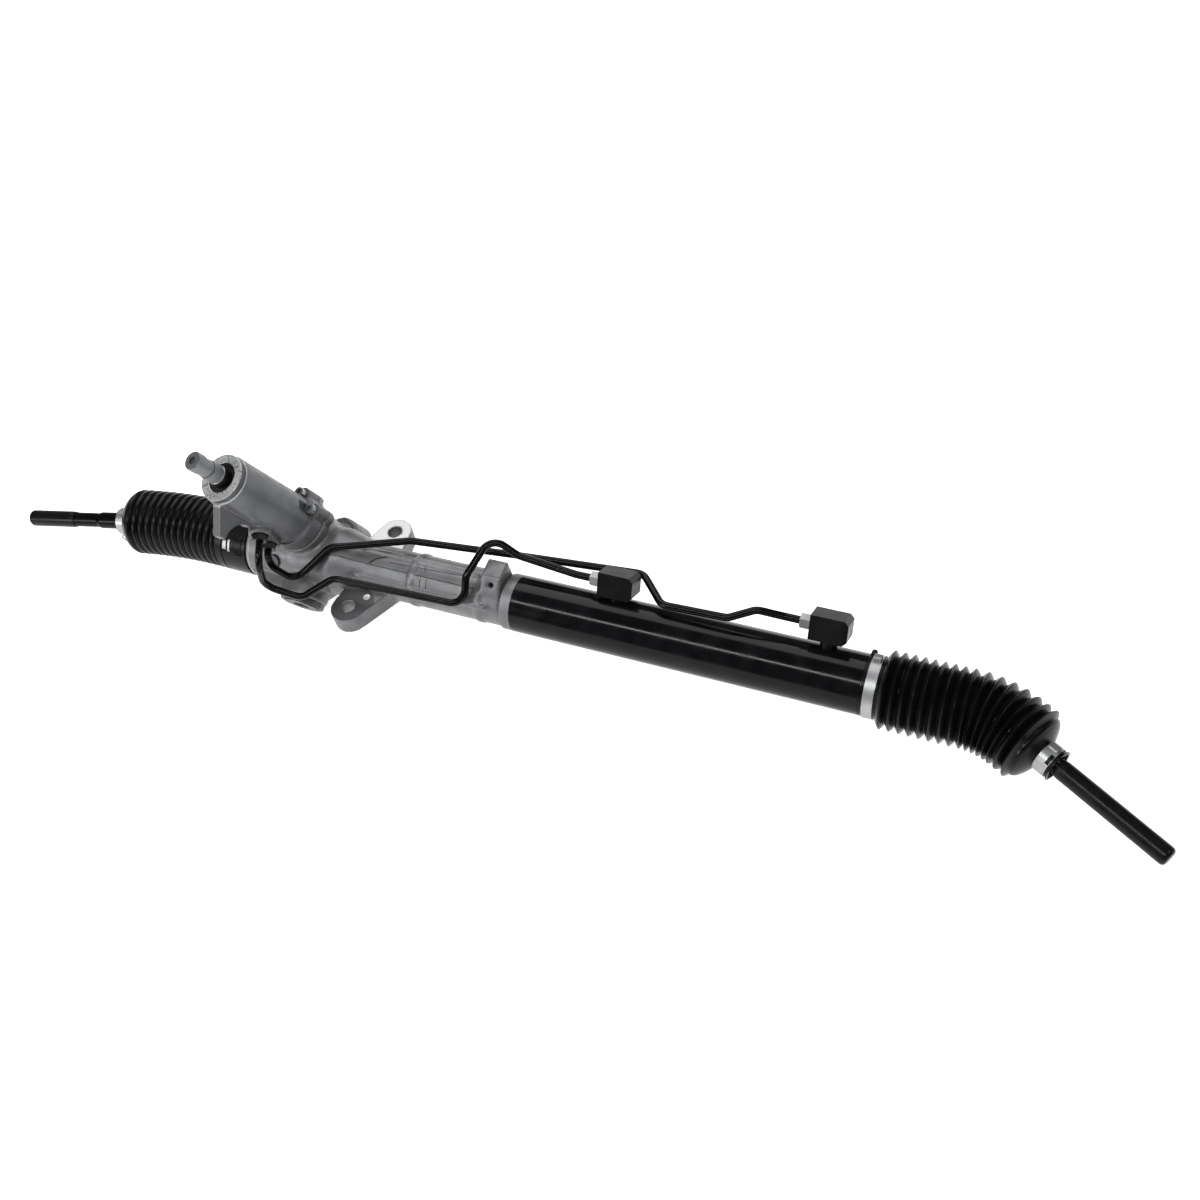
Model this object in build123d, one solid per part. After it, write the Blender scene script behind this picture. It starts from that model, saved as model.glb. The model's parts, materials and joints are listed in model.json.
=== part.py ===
from build123d import *
import os
from math import acos, atan2, cos, degrees, pi, radians, sin, tan

# Hydraulic power steering rack, left-hand pinion tower, straight ahead, both tie rods swung back.
# Millimetres. +X runs along the rack towards the cylinder end, +Z is the axis of the mounting holes.
# The origin is midway between the two mounting holes, on the top face of the mounting ears.

# ---- driving dimensions -------------------------------------------------------------------------
# fits and clearances
FIT = 0.05            # radial clearance of a running or seated fit
CLEAR = 0.3           # clearance of curved faces that pass each other
FACE_GAP = 0.3        # axial gap between pieces that turn or slide past each other

# mounting ears
EAR_SPAN = 91.0       # hole to hole, across the rack
EAR_HOLE_R = 6.5
EAR_R = 16.0
EAR_THICK = 18.0
EAR_ROOT = 27.0       # half width of an ear where it leaves the casting
LOCATING_HOLE_R = 2.75
LOCATING_HOLE_AT = (11.8, -31.5)

# casting round the rack
BARREL_LEFT = -116.0  # shoulder that the left boot is pushed against
BARREL_RIGHT = -28.0
BARREL_R = 31.0
CASTING_TUBE_R = 23.0
CASTING_CONE = 32.0   # length of the taper from barrel to casting tube
CASTING_RIGHT = 140.0
BOOT_SPIGOT_R = 27.5
BOOT_SPIGOT_LENGTH = 34.0
STOP_BORE_R = 20.5    # counterbore that the ball housing runs into
STOP_FACE = -118.0    # bottom of that counterbore
CAST_RIB = 2.2        # height of the ribs on the casting tube
LUG_LENGTH = 19.0
LUG_HOLE_R = 2.5
PLUG_X = -84.0        # small plug that closes the grease hole
PLUG_ANGLE = 61.0
PLUG_R = 4.0

# cylinder
TUBE_R = 25.0
TUBE_BORE_R = 22.0
TUBE_LENGTH = 302.5
COLLAR_LENGTH = 10.5
COLLAR_R = 24.6
SPIGOT_R = 20.0       # casting spigot that carries the collar and the tube
SPIGOT_LENGTH = 16.5
INNER_BULKHEAD_LENGTH = 75.5
OUTER_BULKHEAD_LENGTH = 24.0
OUTER_SKIRT_LENGTH = 14.0
OUTER_SKIRT_WALL = 2.0
BULKHEAD_BORE_R = 14.0
ROD_SEAL_R = 18.0
ROD_SEAL_LENGTH = 8.0
RACK_BUSH_LENGTH = 12.0
RETAINER_WIDTH = 1.0
RETAINER_DEPTH = 2.5

# rack, piston and teeth
RACK_R = 13.0
RACK_CENTRE = 169.5   # middle of the rack at straight ahead
RACK_LENGTH = 723.0
RACK_TRAVEL = 72.0    # each way from straight ahead
TOOTHED_HALF = 84.0   # half length of the toothed flat
PISTON_AT = 332.0
PISTON_LENGTH = 20.0
PISTON_RING_LENGTH = 4.0
PISTON_RING_DEPTH = 3.0
PISTON_CLIP_LENGTH = 2.0
TOOTH_MODULE = 2.0
PRESSURE_ANGLE = 25.0
PINION_TEETH = 8
PINION_TOOTH_THICK = 3.5
FLANK_BACKLASH = 0.45
RACK_ADDENDUM = 1.35
RACK_DEDENDUM = 2.75
PINION_ADDENDUM = 2.25
PINION_DEDENDUM = 1.85
PINION_FACE = 32.0

# pinion and tower
PINION_X = -56.2
PINION_OFFSET = 17.0  # distance between the rack axis and the pinion axis
TOWER_ROLL = 22.8     # tower leans towards the front, about the rack axis
TOWER_LEAN = 10.5     # tower leans towards the left end
TOWER_SEAT = 36.4     # face of the casting that the tower is bolted to
TOWER_FLANGE = 13.6
TOWER_R = 22.2
TOWER_TOP = 141.7
TOWER_RIM_R = 19.5
TOWER_RIM = 5.5
FLANGE_R = 25.2
BOLT_CIRCLE_R = 24.0
BOLT_ANGLES = (8.0, 64.0, 264.0)
BOLT_LOBE_R = 7.0
BOLT_LOBE_DEPTH = 9.0
SEAT_CASING_R = 19.5  # casting round the pinion, at its narrow end
BOLT_HEAD_R = 4.6
BOLT_HEAD = 6.0
BOLT_R = 3.0
BOLT_LENGTH = 21.0
SEAL_GROOVE = 1.8
SEAL_GROOVE_R = 20.4
VALVE_BORE_R = 17.3
VALVE_BORE_TOP = 122.0
SHAFT_SEAL_R = 13.3
SHAFT_SEAL_LENGTH = 6.0
SHAFT_SEAL_TOP = 138.5
UPPER_BEARING_LENGTH = 9.0
INPUT_SHAFT_R = 9.0
INPUT_TIP_R = 8.4
INPUT_WAIST_R = 7.8
INPUT_TIP = 176.6
INPUT_SHOULDER = 148.0
INPUT_WAIST_FROM = 159.0
INPUT_WAIST_TO = 168.0
TORSION_BAR_R = 3.5
TORSION_BAR_RECESS = 2.0
TORSION_PIN_R = 1.5
SLEEVE_R = 17.0
SLEEVE_BORE_R = 12.0
SLEEVE_FROM = 46.0
SLEEVE_TO = 118.0
SLEEVE_RING_COUNT = 4
SLEEVE_RING_WIDTH = 2.0
SLEEVE_RING_DEPTH = 0.8
SLEEVE_RING_PITCH = 15.0

# pinion bearings and lower cap
GEAR_BORE_R = 11.2
BALL_BEARING_R = 18.0
BALL_BEARING_WIDTH = 11.0
PINION_JOURNAL_R = 8.0
NEEDLE_BEARING_WIDTH = 12.0
NEEDLE_GAP = 2.0
GEAR_BORE_END = 5.0   # bore left open below the needle bearing
LOWER_JOURNAL_R = 7.0
LOWER_BOSS_R = 20.5
LOWER_BOSS_SHIFT = 7.5
LOWER_BOSS_END = -46.0
LOWER_BOSS_TOP = -16.0
LOWER_CAP_R = 14.0
LOWER_CAP = 6.0
LOWER_CAP_HEX_R = 6.0

# yoke, on the far side of the rack from the pinion
YOKE_R = 15.0
YOKE_BACK = 32.0
YOKE_LINER = 0.6
YOKE_LINER_WIDTH = 22.0
YOKE_LINER_SPAN = 50.0
YOKE_BOSS_R = 21.5
YOKE_BOSS_END = 43.0
YOKE_PLUG_R = 16.5
YOKE_PLUG_FROM = 35.0
YOKE_PLUG_END = 48.5
YOKE_NUT_R = 20.0
YOKE_NUT = 4.5
SPRING_R = 8.0
SPRING_BORE_R = 4.2
SPRING_THICK = 1.2
SPRING_RISE = 1.3     # height that each disc of the spring stands above flat
SPRING_DISC_COUNT = 4
SPRING_POCKET = 8.0

# hose and pipe ports of the tower
PORT_TURN = 20.0      # the pipe ports face this far round from the front of the tower
PORT_BOSS_FACE = 28.0 # distance of the port face from the tower axis
PORT_BOSS_LENGTH = 39.0
PORT_BOSS_WIDTH = 21.0
LOWER_PORT = (-12.0, 63.0)  # sideways place and height of the ports on their face
UPPER_PORT = (-6.5, 81.0)
PORT_BORE_R = 5.0
PORT_DEPTH = 17.0
PORT_RECESS_R = 7.2   # recess that the nut sits in
PORT_RECESS = 4.0
BLOCK_PORT_DEPTH = 14.0
HOSE_PORT_R = 7.0
HOSE_PORT_DEPTH = 14.0
HOSE_BOSS_R = 12.5
HOSE_BOSS_FACE = 33.0
FEED_PORT_AT = 70.0
RETURN_PORT_AT = 100.0
WEB_THICK = 9.0

# pipes
PIPE_R = 3.25
PIPE_BEND_R = 13.0
PIPE_NUT_FLATS = 11.5
PIPE_NUT = 9.0
PIPE_NUT_SPIGOT = 6.0
# corners of the lower pipe between the tower and its port block
LOWER_ROUTE = [(-70, -61, 24), (-37, -57, 13), (-15, -34, 20), (112, -27, 16), (109, -9, 34),
               (121, 25, 51), (146, 22, 37)]
# corners of the upper pipe: near the casting, past the inner port block (+X from it), and before
# the outer one (-X from it)
UPPER_ROUTE = [(-48, -46, 20), (-26, -12, 34), (40, 17.5, 30), (132, 29, 27)]
UPPER_ROUTE_PAST = [(14.5, 37, 30), (24.5, 27, 30), (41.5, 9, 31.5)]
UPPER_ROUTE_BEFORE = [(-82, 9, 34), (-60, 18, 41)]

# port blocks on the cylinder
PORT_BLOCK = (31.0, 20.0, 21.0)
PORT_BLOCK_LEAN = 30.0
PORT_BLOCK_NECK_R = 7.0
PORT_WAY_R = 3.0
INNER_PORT_PAST = 13.5      # from the inner bulkhead's end to its port
OUTER_PORT_SHORT = 9.0      # from the outer bulkhead's start back to its port
INNER_BLOCK_HEIGHT = 38.0   # from the rack axis to the middle of a block
OUTER_BLOCK_HEIGHT = 42.0

# inner ball joints and tie rods
BALL_R = 13.5
SEAT_R = 15.75
SOCKET_R = 18.5
SOCKET_MOUTH = 6.6
SOCKET_END = 9.0
SOCKET_BACK = 20.0
SOCKET_FLAT = 17.0    # half distance across the spanner flats
SOCKET_STUD_R = 8.0
SOCKET_STUD = 14.0
STOP_WASHER_R = 17.0
STOP_WASHER = 3.0
JOINT_LIMIT = 36.0    # widest cone that the mouth of a ball housing leaves free
SWING_DROP = 10.0     # the tie rods swing towards the front and this far down
RIGHT_SWING = 29.1
LEFT_SWING = 11.0
NECK_R = 6.3
ROD_R = 8.0
ROD_WAIST_R = 7.0
# distances from the ball: waist, start of the thread and end of each tie rod; then its sleeve
RIGHT_ROD = (60.2, 70.0, 152.0)
LEFT_ROD = (87.0, 118.0, 157.0)
RIGHT_SLEEVE = (60.5, 158.6)
LEFT_SLEEVE = (112.5, 163.0)

# boots
BOOT_WALL = 2.0
CUFF_WALL = 3.0
CLAMP_BAND = 0.8
NECK_WALL = 3.5
CUFF_STEP = 1.0       # step in a cuff that keeps its clamp in place
RIGHT_CLAMP_SEAT = 3.0  # from the cuff's end to its clamp
LEFT_CLAMP_SEAT = 25.0
# last lobe and cone of each boot, as distances from the last crest and radii
RIGHT_TAIL = ((3.0, 25.5), (7.0, 28.5), (10.0, 25.0), (13.0, 19.0))
LEFT_TAIL = ((4.5, 28.3), (8.0, 25.5), (10.5, 21.5), (12.0, 16.5))
RIGHT_CLAMP = 8.5     # widths of the clamps
LEFT_CLAMP = 7.0
NECK_CLAMP = 10.5
RIGHT_BEND = 21.0     # distance from the ball to each end of the boot's bend
RIGHT_CUFF = 17.7     # from the cuff's end to the first crest
RIGHT_PLEATS_TO = 30.0  # last crest, measured from the ball
RIGHT_CREST = 32.0
RIGHT_VALLEY = 27.0
RIGHT_PLEAT_COUNT = 16
RIGHT_NECK_FROM = 46.0
RIGHT_NECK_TO = 59.5
BEND_MARGIN = 3.0     # the left boot bends over all its pleats but these ends
LEFT_CUFF = 37.7
LEFT_PLEATS_TO = 37.0
LEFT_CREST = 30.8
LEFT_VALLEY = 28.7
LEFT_PLEAT_COUNT = 14
LEFT_NECK_FROM = 50.5
LEFT_NECK_TO = 62.5

# ---- derived places -----------------------------------------------------------------------------
COLLAR_X = CASTING_RIGHT
TUBE_X = COLLAR_X + COLLAR_LENGTH
TUBE_END = TUBE_X + TUBE_LENGTH
RACK_LEFT = RACK_CENTRE - RACK_LENGTH / 2
RACK_RIGHT = RACK_CENTRE + RACK_LENGTH / 2
BALL_FROM_RACK = STOP_WASHER + SOCKET_BACK
LEFT_BALL_X = RACK_LEFT - BALL_FROM_RACK
RIGHT_BALL_X = RACK_RIGHT + BALL_FROM_RACK
INNER_PORT = (TUBE_X + INNER_BULKHEAD_LENGTH + INNER_PORT_PAST, INNER_BLOCK_HEIGHT)
OUTER_PORT = (TUBE_END - OUTER_BULKHEAD_LENGTH - OUTER_PORT_SHORT, OUTER_BLOCK_HEIGHT)
NEEDLE_TOP = -PINION_FACE / 2 - NEEDLE_GAP
NEEDLE_LOW = NEEDLE_TOP - NEEDLE_BEARING_WIDTH
PINION_PITCH_R = TOOTH_MODULE * PINION_TEETH / 2
RACK_PITCH_H = PINION_OFFSET - PINION_PITCH_R

rack_frame = Location((PINION_X, 0, 0), (TOWER_ROLL, -TOWER_LEAN, 0))
# in the tower's frame +Z is the pinion axis, +Y points away from the rack
tower_frame = rack_frame * Pos(0, PINION_OFFSET, 0)
# the yoke's frame has +Z pointing away from the pinion
yoke_frame = Location((PINION_X, 0, 0), (TOWER_ROLL, 0, 0)) * Rot(90, 0, 0)
block_frame = Rot(-PORT_BLOCK_LEAN, 0, 0)

swing = Vector(0, -cos(radians(SWING_DROP)), -sin(radians(SWING_DROP)))
right_end = Plane(origin=(RIGHT_BALL_X, 0, 0), x_dir=(1, 0, 0), z_dir=Vector(1, 0, 0).cross(swing))
left_end = Plane(origin=(LEFT_BALL_X, 0, 0), x_dir=(-1, 0, 0), z_dir=Vector(-1, 0, 0).cross(swing))


# ---- helpers ------------------------------------------------------------------------------------
def rod(radius, start, end):
    """Cylinder along Z from start to end."""
    return Pos(0, 0, start) * Cylinder(radius, end - start, align=(Align.CENTER, Align.CENTER, Align.MIN))


def bar(radius, start, end):
    """Cylinder along X from start to end."""
    return Pos(start, 0, 0) * Rot(0, 90, 0) * Cylinder(
        radius, end - start, align=(Align.CENTER, Align.CENTER, Align.MIN))


def spun(*points):
    """Solid of revolution about X, from an outline of (x, radius) points."""
    return revolve(Plane.XY * make_face(Polyline(*points, close=True)), Axis.X)


def box_between(low, high):
    size = [high[i] - low[i] for i in range(3)]
    middle = [(high[i] + low[i]) / 2 for i in range(3)]
    return Pos(*middle) * Box(*size)


def tower_bolt_frame(angle):
    """Axis of a tower bolt; the angle counts from the back of the tower towards the cylinder end."""
    return Rot(0, 0, 90 - angle) * Pos(BOLT_CIRCLE_R, 0, 0)


def save(name, shape):
    export_step(shape, "parts/" + name + ".step")


def group(solids):
    return Compound(children=list(solids))


os.makedirs("parts", exist_ok=True)


# ---- rack housing: barrel, casting tube, ears, yoke boss and pinion casing --------------------------
def ear(side):
    """Mounting ear, drawn for the rear (side 1) or the front (side -1) of the casting."""
    hole_y = side * EAR_SPAN / 2
    root = [Vector(-side * 8 - EAR_ROOT * 0.7, side * 12), Vector(-side * 8 + EAR_ROOT, side * 12)]
    rim = Edge.make_circle(EAR_R, Plane((0, hole_y, 0)))
    outline = make_hull([rim, Edge.make_line(*root)])
    plate = extrude(outline, EAR_THICK, dir=(0, 0, -1))
    return plate - Pos(0, hole_y, 0) * rod(EAR_HOLE_R, -EAR_THICK - 1, 1)


def casting_ribs():
    """Long rib at the front and a ring rib at each end of the lettering-free cast panel."""
    ribs = [bar(CASTING_TUBE_R + CAST_RIB / 2, x, x + 5) for x in (BARREL_RIGHT + 78, CASTING_RIGHT - 24)]
    reach = CASTING_TUBE_R + CAST_RIB
    for angle in (-8, 62, 150, 240):
        strip = box_between((BARREL_RIGHT, -2, 0), (CASTING_RIGHT - 12, 2, reach))
        ribs.append(Rot(angle, 0, 0) * strip)
    return ribs


def lug_block():
    """Cast block at the end of the casting tube, drilled for a pipe bracket."""
    outline = Polyline((-10, 8), (-14, 20), (-4, 33.5), (14, 36), (17, 10), close=True)
    block = extrude(Plane.YZ * make_face(outline), LUG_LENGTH)
    block = fillet(block.edges().filter_by(Axis.X), 2.0)
    return Pos(CASTING_RIGHT - LUG_LENGTH - 0.5, 0, 0) * block


def yoke_web():
    """Curved belly that joins the barrel to the yoke boss."""
    start = BARREL_LEFT - PINION_X
    outline = make_face(Polyline(
        (start + 2, 10), (start + 3, BARREL_R - 3), (-38, BARREL_R + 6), (-20, YOKE_BOSS_END - 2),
        (12, YOKE_BOSS_END - 2), (BARREL_RIGHT - PINION_X, 24), (BARREL_RIGHT - PINION_X, 10), close=True))
    belly = extrude(Plane.XZ * outline, 15, both=True)
    belly = fillet(belly.edges().filter_by(Axis.Y).sort_by(Axis.Z)[-4:], 8)
    return yoke_frame * belly


barrel = bar(BARREL_R, BARREL_LEFT, BARREL_RIGHT)
barrel = chamfer(barrel.edges().group_by(Axis.X)[0], 2)
taper = spun((BARREL_RIGHT, 0), (BARREL_RIGHT, BARREL_R), (BARREL_RIGHT + CASTING_CONE, CASTING_TUBE_R),
             (BARREL_RIGHT + CASTING_CONE, 0))
casting_tube = bar(CASTING_TUBE_R, BARREL_RIGHT, CASTING_RIGHT)
boot_spigot = bar(BOOT_SPIGOT_R, BARREL_LEFT - BOOT_SPIGOT_LENGTH, BARREL_LEFT)
tube_spigot = bar(SPIGOT_R, CASTING_RIGHT, CASTING_RIGHT + SPIGOT_LENGTH)

seat_casing = Cone(SEAT_CASING_R, FLANGE_R + 1, TOWER_SEAT, align=(Align.CENTER, Align.CENTER, Align.MIN))
lobes = [tower_bolt_frame(angle) * rod(BOLT_LOBE_R, TOWER_SEAT - BOLT_LOBE_DEPTH, TOWER_SEAT)
         for angle in BOLT_ANGLES]
lower_boss = Pos(0, LOWER_BOSS_SHIFT, 0) * rod(LOWER_BOSS_R, LOWER_BOSS_END, LOWER_BOSS_TOP)
lower_boss = chamfer(lower_boss.edges().group_by(Axis.Z)[0], 4)
pinion_casing = tower_frame * (seat_casing + lobes + [rod(SEAT_CASING_R, LOWER_BOSS_TOP - 1, 1), lower_boss])
yoke_boss = rod(YOKE_BOSS_R, 0, YOKE_BOSS_END)
yoke_boss = yoke_frame * chamfer(yoke_boss.edges().group_by(Axis.Z)[-1], 1.5)

rack_housing = barrel + [taper, casting_tube, boot_spigot, tube_spigot, pinion_casing, yoke_boss,
                         yoke_web(), ear(1), ear(-1), lug_block()] + casting_ribs()

rack_bore = bar(BULKHEAD_BORE_R, BARREL_LEFT - 60, CASTING_RIGHT + 60)
stop_bore = bar(STOP_BORE_R, BARREL_LEFT - 60, STOP_FACE)
yoke_bore = yoke_frame * rod(YOKE_R + FIT, 0, YOKE_BOSS_END + 1)
plug_bore = yoke_frame * rod(YOKE_PLUG_R + FIT, YOKE_PLUG_FROM - 0.5, YOKE_BOSS_END + 1)
gear_bore = tower_frame * (
    rod(GEAR_BORE_R, NEEDLE_LOW - GEAR_BORE_END, TOWER_SEAT + 1)
    + rod(BALL_BEARING_R + FIT, TOWER_SEAT - BALL_BEARING_WIDTH, TOWER_SEAT + 1)
    + rod(LOWER_CAP_R + FIT, LOWER_BOSS_END - 1, LOWER_BOSS_END + LOWER_CAP))
bolt_hole = rod(BOLT_R + FIT, TOWER_SEAT - BOLT_LENGTH + TOWER_FLANGE - 1, TOWER_SEAT + 1)
bolt_holes = [tower_frame * tower_bolt_frame(angle) * bolt_hole for angle in BOLT_ANGLES]
bracket_hole = Pos(CASTING_RIGHT - LUG_LENGTH / 2, -8, 27.5) * Rot(52, 0, 0) * rod(LUG_HOLE_R, -12, 12)
locating_hole = Pos(*LOCATING_HOLE_AT, 0) * rod(LOCATING_HOLE_R, -EAR_THICK - 1, 1)
plug_frame = Pos(PLUG_X, 0, 0) * Rot(PLUG_ANGLE, 0, 0)
plug_hole = plug_frame * (rod(PLUG_R, 12, 40) + rod(PLUG_R + 4, BARREL_R - 0.5, BARREL_R + 6))
rack_housing = rack_housing - [rack_bore, stop_bore, yoke_bore, plug_bore, gear_bore, bracket_hole,
                               locating_hole, plug_hole] - bolt_holes
save("rack_housing", rack_housing)

plug_seat = BARREL_R - 0.5
grease_plug = (rod(PLUG_R - FIT, 16, plug_seat) + rod(PLUG_R + 2.5, plug_seat, plug_seat + 2.5)
               - rod(PLUG_R - 1.8, plug_seat + 1, plug_seat + 3))
save("grease_plug", plug_frame * grease_plug)


# ---- valve tower and what seals it ----------------------------------------------------------------
def port_place(port, distance):
    """Point on the axis of a pipe port, +Z pointing out of the tower."""
    sideways, height = port
    return Rot(0, 0, PORT_TURN) * Pos(sideways, -distance, height) * Rot(90, 0, 0)


def port_boss():
    """Boss with round ends that carries both pipe ports."""
    across = UPPER_PORT[0] - LOWER_PORT[0]
    along = UPPER_PORT[1] - LOWER_PORT[1]
    middle = [(UPPER_PORT[i] + LOWER_PORT[i]) / 2 for i in range(2)]
    outline = Rot(0, 0, degrees(atan2(along, across))) * SlotOverall(PORT_BOSS_LENGTH, PORT_BOSS_WIDTH)
    boss = extrude(outline, PORT_BOSS_FACE - 8)
    boss = chamfer(boss.edges().group_by(Axis.Z)[-1], 1.5)
    return port_place(middle, 8) * boss


hose_frame = Rot(0, 0, -90)

tower = rod(TOWER_R, TOWER_SEAT, TOWER_TOP - TOWER_RIM)
tower = tower + rod(TOWER_RIM_R, TOWER_TOP - TOWER_RIM, TOWER_TOP)
tower = chamfer(tower.edges().group_by(Axis.Z)[-1].sort_by(SortBy.RADIUS)[-1:], 0.8)
flange = rod(FLANGE_R, TOWER_SEAT, TOWER_SEAT + TOWER_FLANGE)
flange_lobes = [tower_bolt_frame(angle) * rod(BOLT_LOBE_R, TOWER_SEAT, TOWER_SEAT + TOWER_FLANGE)
                for angle in BOLT_ANGLES]
hose_bosses = [hose_frame * Pos(0, 0, z) * Rot(90, 0, 0) * rod(HOSE_BOSS_R, 10, HOSE_BOSS_FACE)
               for z in (FEED_PORT_AT, RETURN_PORT_AT)]
web_face = make_face(
    Polyline((-10, 92), (-10, TOWER_TOP - TOWER_RIM), (-TOWER_R, TOWER_TOP - TOWER_RIM),
             (-46, 124), (-46, 117))
    + ThreePointArc((-46, 117), (-31, 111), (-27, 96)) + Line((-27, 96), (-10, 92)))
web = extrude(Plane.YZ * web_face, WEB_THICK / 2, both=True)
valve_tower = tower + flange_lobes + [flange, port_boss()] + hose_bosses + [web]
ports = [port_place(port, PORT_BOSS_FACE) * (rod(PORT_BORE_R + FIT, -PORT_DEPTH, 1)
                                             + rod(PORT_RECESS_R, -PORT_RECESS, 1))
         for port in (LOWER_PORT, UPPER_PORT)]
hose_ports = [hose_frame * Pos(0, 0, z) * Rot(90, 0, 0)
              * rod(HOSE_PORT_R, HOSE_BOSS_FACE - HOSE_PORT_DEPTH, HOSE_BOSS_FACE + 1)
              for z in (FEED_PORT_AT, RETURN_PORT_AT)]
head_seat = TOWER_SEAT + TOWER_FLANGE
tower_bolt_holes = [tower_bolt_frame(angle) * (rod(BOLT_R + FIT, TOWER_SEAT - 1, head_seat + 1)
                                               + rod(BOLT_HEAD_R + 0.8, head_seat, head_seat + 17))
                    for angle in BOLT_ANGLES]
groove_top = TOWER_SEAT + SEAL_GROOVE
seal_groove = rod(SEAL_GROOVE_R, TOWER_SEAT - 1, groove_top)
seal_groove = seal_groove - rod(SEAL_GROOVE_R - 2, TOWER_SEAT - 1, groove_top)
valve_bore = (rod(VALVE_BORE_R, TOWER_SEAT - 1, VALVE_BORE_TOP)
              + rod(SHAFT_SEAL_R, VALVE_BORE_TOP - 1, TOWER_TOP + 1))
valve_tower = valve_tower - [valve_bore, seal_groove] - ports - hose_ports - tower_bolt_holes
save("valve_tower", tower_frame * valve_tower)

seal_ring = (rod(SEAL_GROOVE_R - FIT, TOWER_SEAT + FIT, groove_top - FIT)
             - rod(SEAL_GROOVE_R - 2 + FIT, TOWER_SEAT, groove_top))
save("tower_seal_ring", tower_frame * seal_ring)

bolt = rod(BOLT_R, head_seat - BOLT_LENGTH, head_seat) + rod(BOLT_HEAD_R, head_seat, head_seat + BOLT_HEAD)
bolt = bolt - Pos(0, 0, head_seat + 3) * extrude(RegularPolygon(2.7, 6), BOLT_HEAD)
save("tower_bolts", group(tower_frame * tower_bolt_frame(angle) * bolt for angle in BOLT_ANGLES))

bearing_top = VALVE_BORE_TOP + UPPER_BEARING_LENGTH
save("input_shaft_bearing", tower_frame * (rod(SHAFT_SEAL_R - FIT, VALVE_BORE_TOP, bearing_top)
                                           - rod(INPUT_SHAFT_R + FIT, VALVE_BORE_TOP - 1, bearing_top + 1)))
seal_low = SHAFT_SEAL_TOP - SHAFT_SEAL_LENGTH
shaft_seal = (rod(SHAFT_SEAL_R - FIT, seal_low, SHAFT_SEAL_TOP)
              - rod(INPUT_SHAFT_R + FIT, seal_low - 1, SHAFT_SEAL_TOP + 1)
              - (rod(SHAFT_SEAL_R - 1.2, SHAFT_SEAL_TOP - 1.5, SHAFT_SEAL_TOP + 1)
                 - rod(INPUT_SHAFT_R + 1.2, SHAFT_SEAL_TOP - 2, SHAFT_SEAL_TOP + 1)))
save("input_shaft_seal", tower_frame * shaft_seal)


# ---- pinion, torsion bar, valve sleeve and input shaft ---------------------------------------------
def involute(angle):
    return tan(angle) - angle


def flank(count=5):
    """Points (radius, half angle) of one flank of a pinion tooth, from the base circle to the tip."""
    pressure = radians(PRESSURE_ANGLE)
    base_r = PINION_PITCH_R * cos(pressure)
    tip_r = PINION_PITCH_R + PINION_ADDENDUM
    half = PINION_TOOTH_THICK / (2 * PINION_PITCH_R)
    points = []
    for i in range(count):
        radius = base_r + (tip_r - base_r) * i / (count - 1)
        points.append((radius, half + involute(pressure) - involute(acos(min(1, base_r / radius)))))
    return points


def polar(radius, angle):
    return (radius * cos(angle), radius * sin(angle))


def pinion_outline():
    """Outline of the toothed section, one tooth pointing at -Y, where the rack is."""
    root_r = PINION_PITCH_R - PINION_DEDENDUM
    side = flank()
    step = 2 * pi / PINION_TEETH
    edges = []
    for tooth in range(PINION_TEETH):
        middle = -pi / 2 + tooth * step
        rising = [polar(r, middle - a) for r, a in side]
        falling = [polar(r, middle + a) for r, a in reversed(side)]
        foot = side[0][1]
        tip_r = side[-1][0]
        edges.append(Line(polar(root_r, middle - foot), rising[0]))
        edges.append(Spline(*rising))
        edges.append(ThreePointArc(rising[-1], polar(tip_r, middle), falling[0]))
        edges.append(Spline(*falling))
        edges.append(Line(falling[-1], polar(root_r, middle + foot)))
        edges.append(ThreePointArc(polar(root_r, middle + foot), polar(root_r, middle + step / 2),
                                   polar(root_r, middle + step - foot)))
    return make_face(edges)


gear = Pos(0, 0, -PINION_FACE / 2) * extrude(pinion_outline(), PINION_FACE)
head_r = SLEEVE_BORE_R - FIT
pinion = gear + [
    rod(LOWER_JOURNAL_R, NEEDLE_LOW - 1, 1 - PINION_FACE / 2),
    rod(PINION_JOURNAL_R, PINION_FACE / 2 - 1, TOWER_SEAT + FACE_GAP),
    rod(head_r, TOWER_SEAT + FACE_GAP, SLEEVE_FROM + 14)]
pinion = pinion - rod(TORSION_BAR_R + FIT, PINION_FACE / 2, SLEEVE_FROM + 15)
lower_pin_at = TOWER_SEAT + 4
upper_pin_at = INPUT_WAIST_TO - 4
pin_hole = Rot(0, 90, 0) * Cylinder(TORSION_PIN_R + FIT, 60)
pinion = pinion - Pos(0, 0, lower_pin_at) * pin_hole
save("pinion", tower_frame * pinion)

torsion_bar = rod(TORSION_BAR_R, PINION_FACE / 2 + FACE_GAP, INPUT_TIP - TORSION_BAR_RECESS)
torsion_bar = torsion_bar - [Pos(0, 0, z) * pin_hole for z in (lower_pin_at, upper_pin_at)]
save("torsion_bar", tower_frame * torsion_bar)

input_shaft = rod(SLEEVE_BORE_R - FIT, SLEEVE_FROM + 14 + FACE_GAP, SLEEVE_TO + 1) + [
    rod(INPUT_SHAFT_R, SLEEVE_TO, INPUT_SHOULDER),
    rod(INPUT_TIP_R, INPUT_SHOULDER, INPUT_WAIST_FROM),
    rod(INPUT_WAIST_R, INPUT_WAIST_FROM, INPUT_WAIST_TO),
    rod(INPUT_TIP_R, INPUT_WAIST_TO, INPUT_TIP)]
input_shaft = chamfer(input_shaft.edges().group_by(Axis.Z)[-1], 0.8)
input_shaft = input_shaft - [rod(TORSION_BAR_R + FIT, SLEEVE_FROM, INPUT_TIP + 1),
                             Pos(0, 0, upper_pin_at) * pin_hole]
save("input_shaft", tower_frame * input_shaft)

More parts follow.
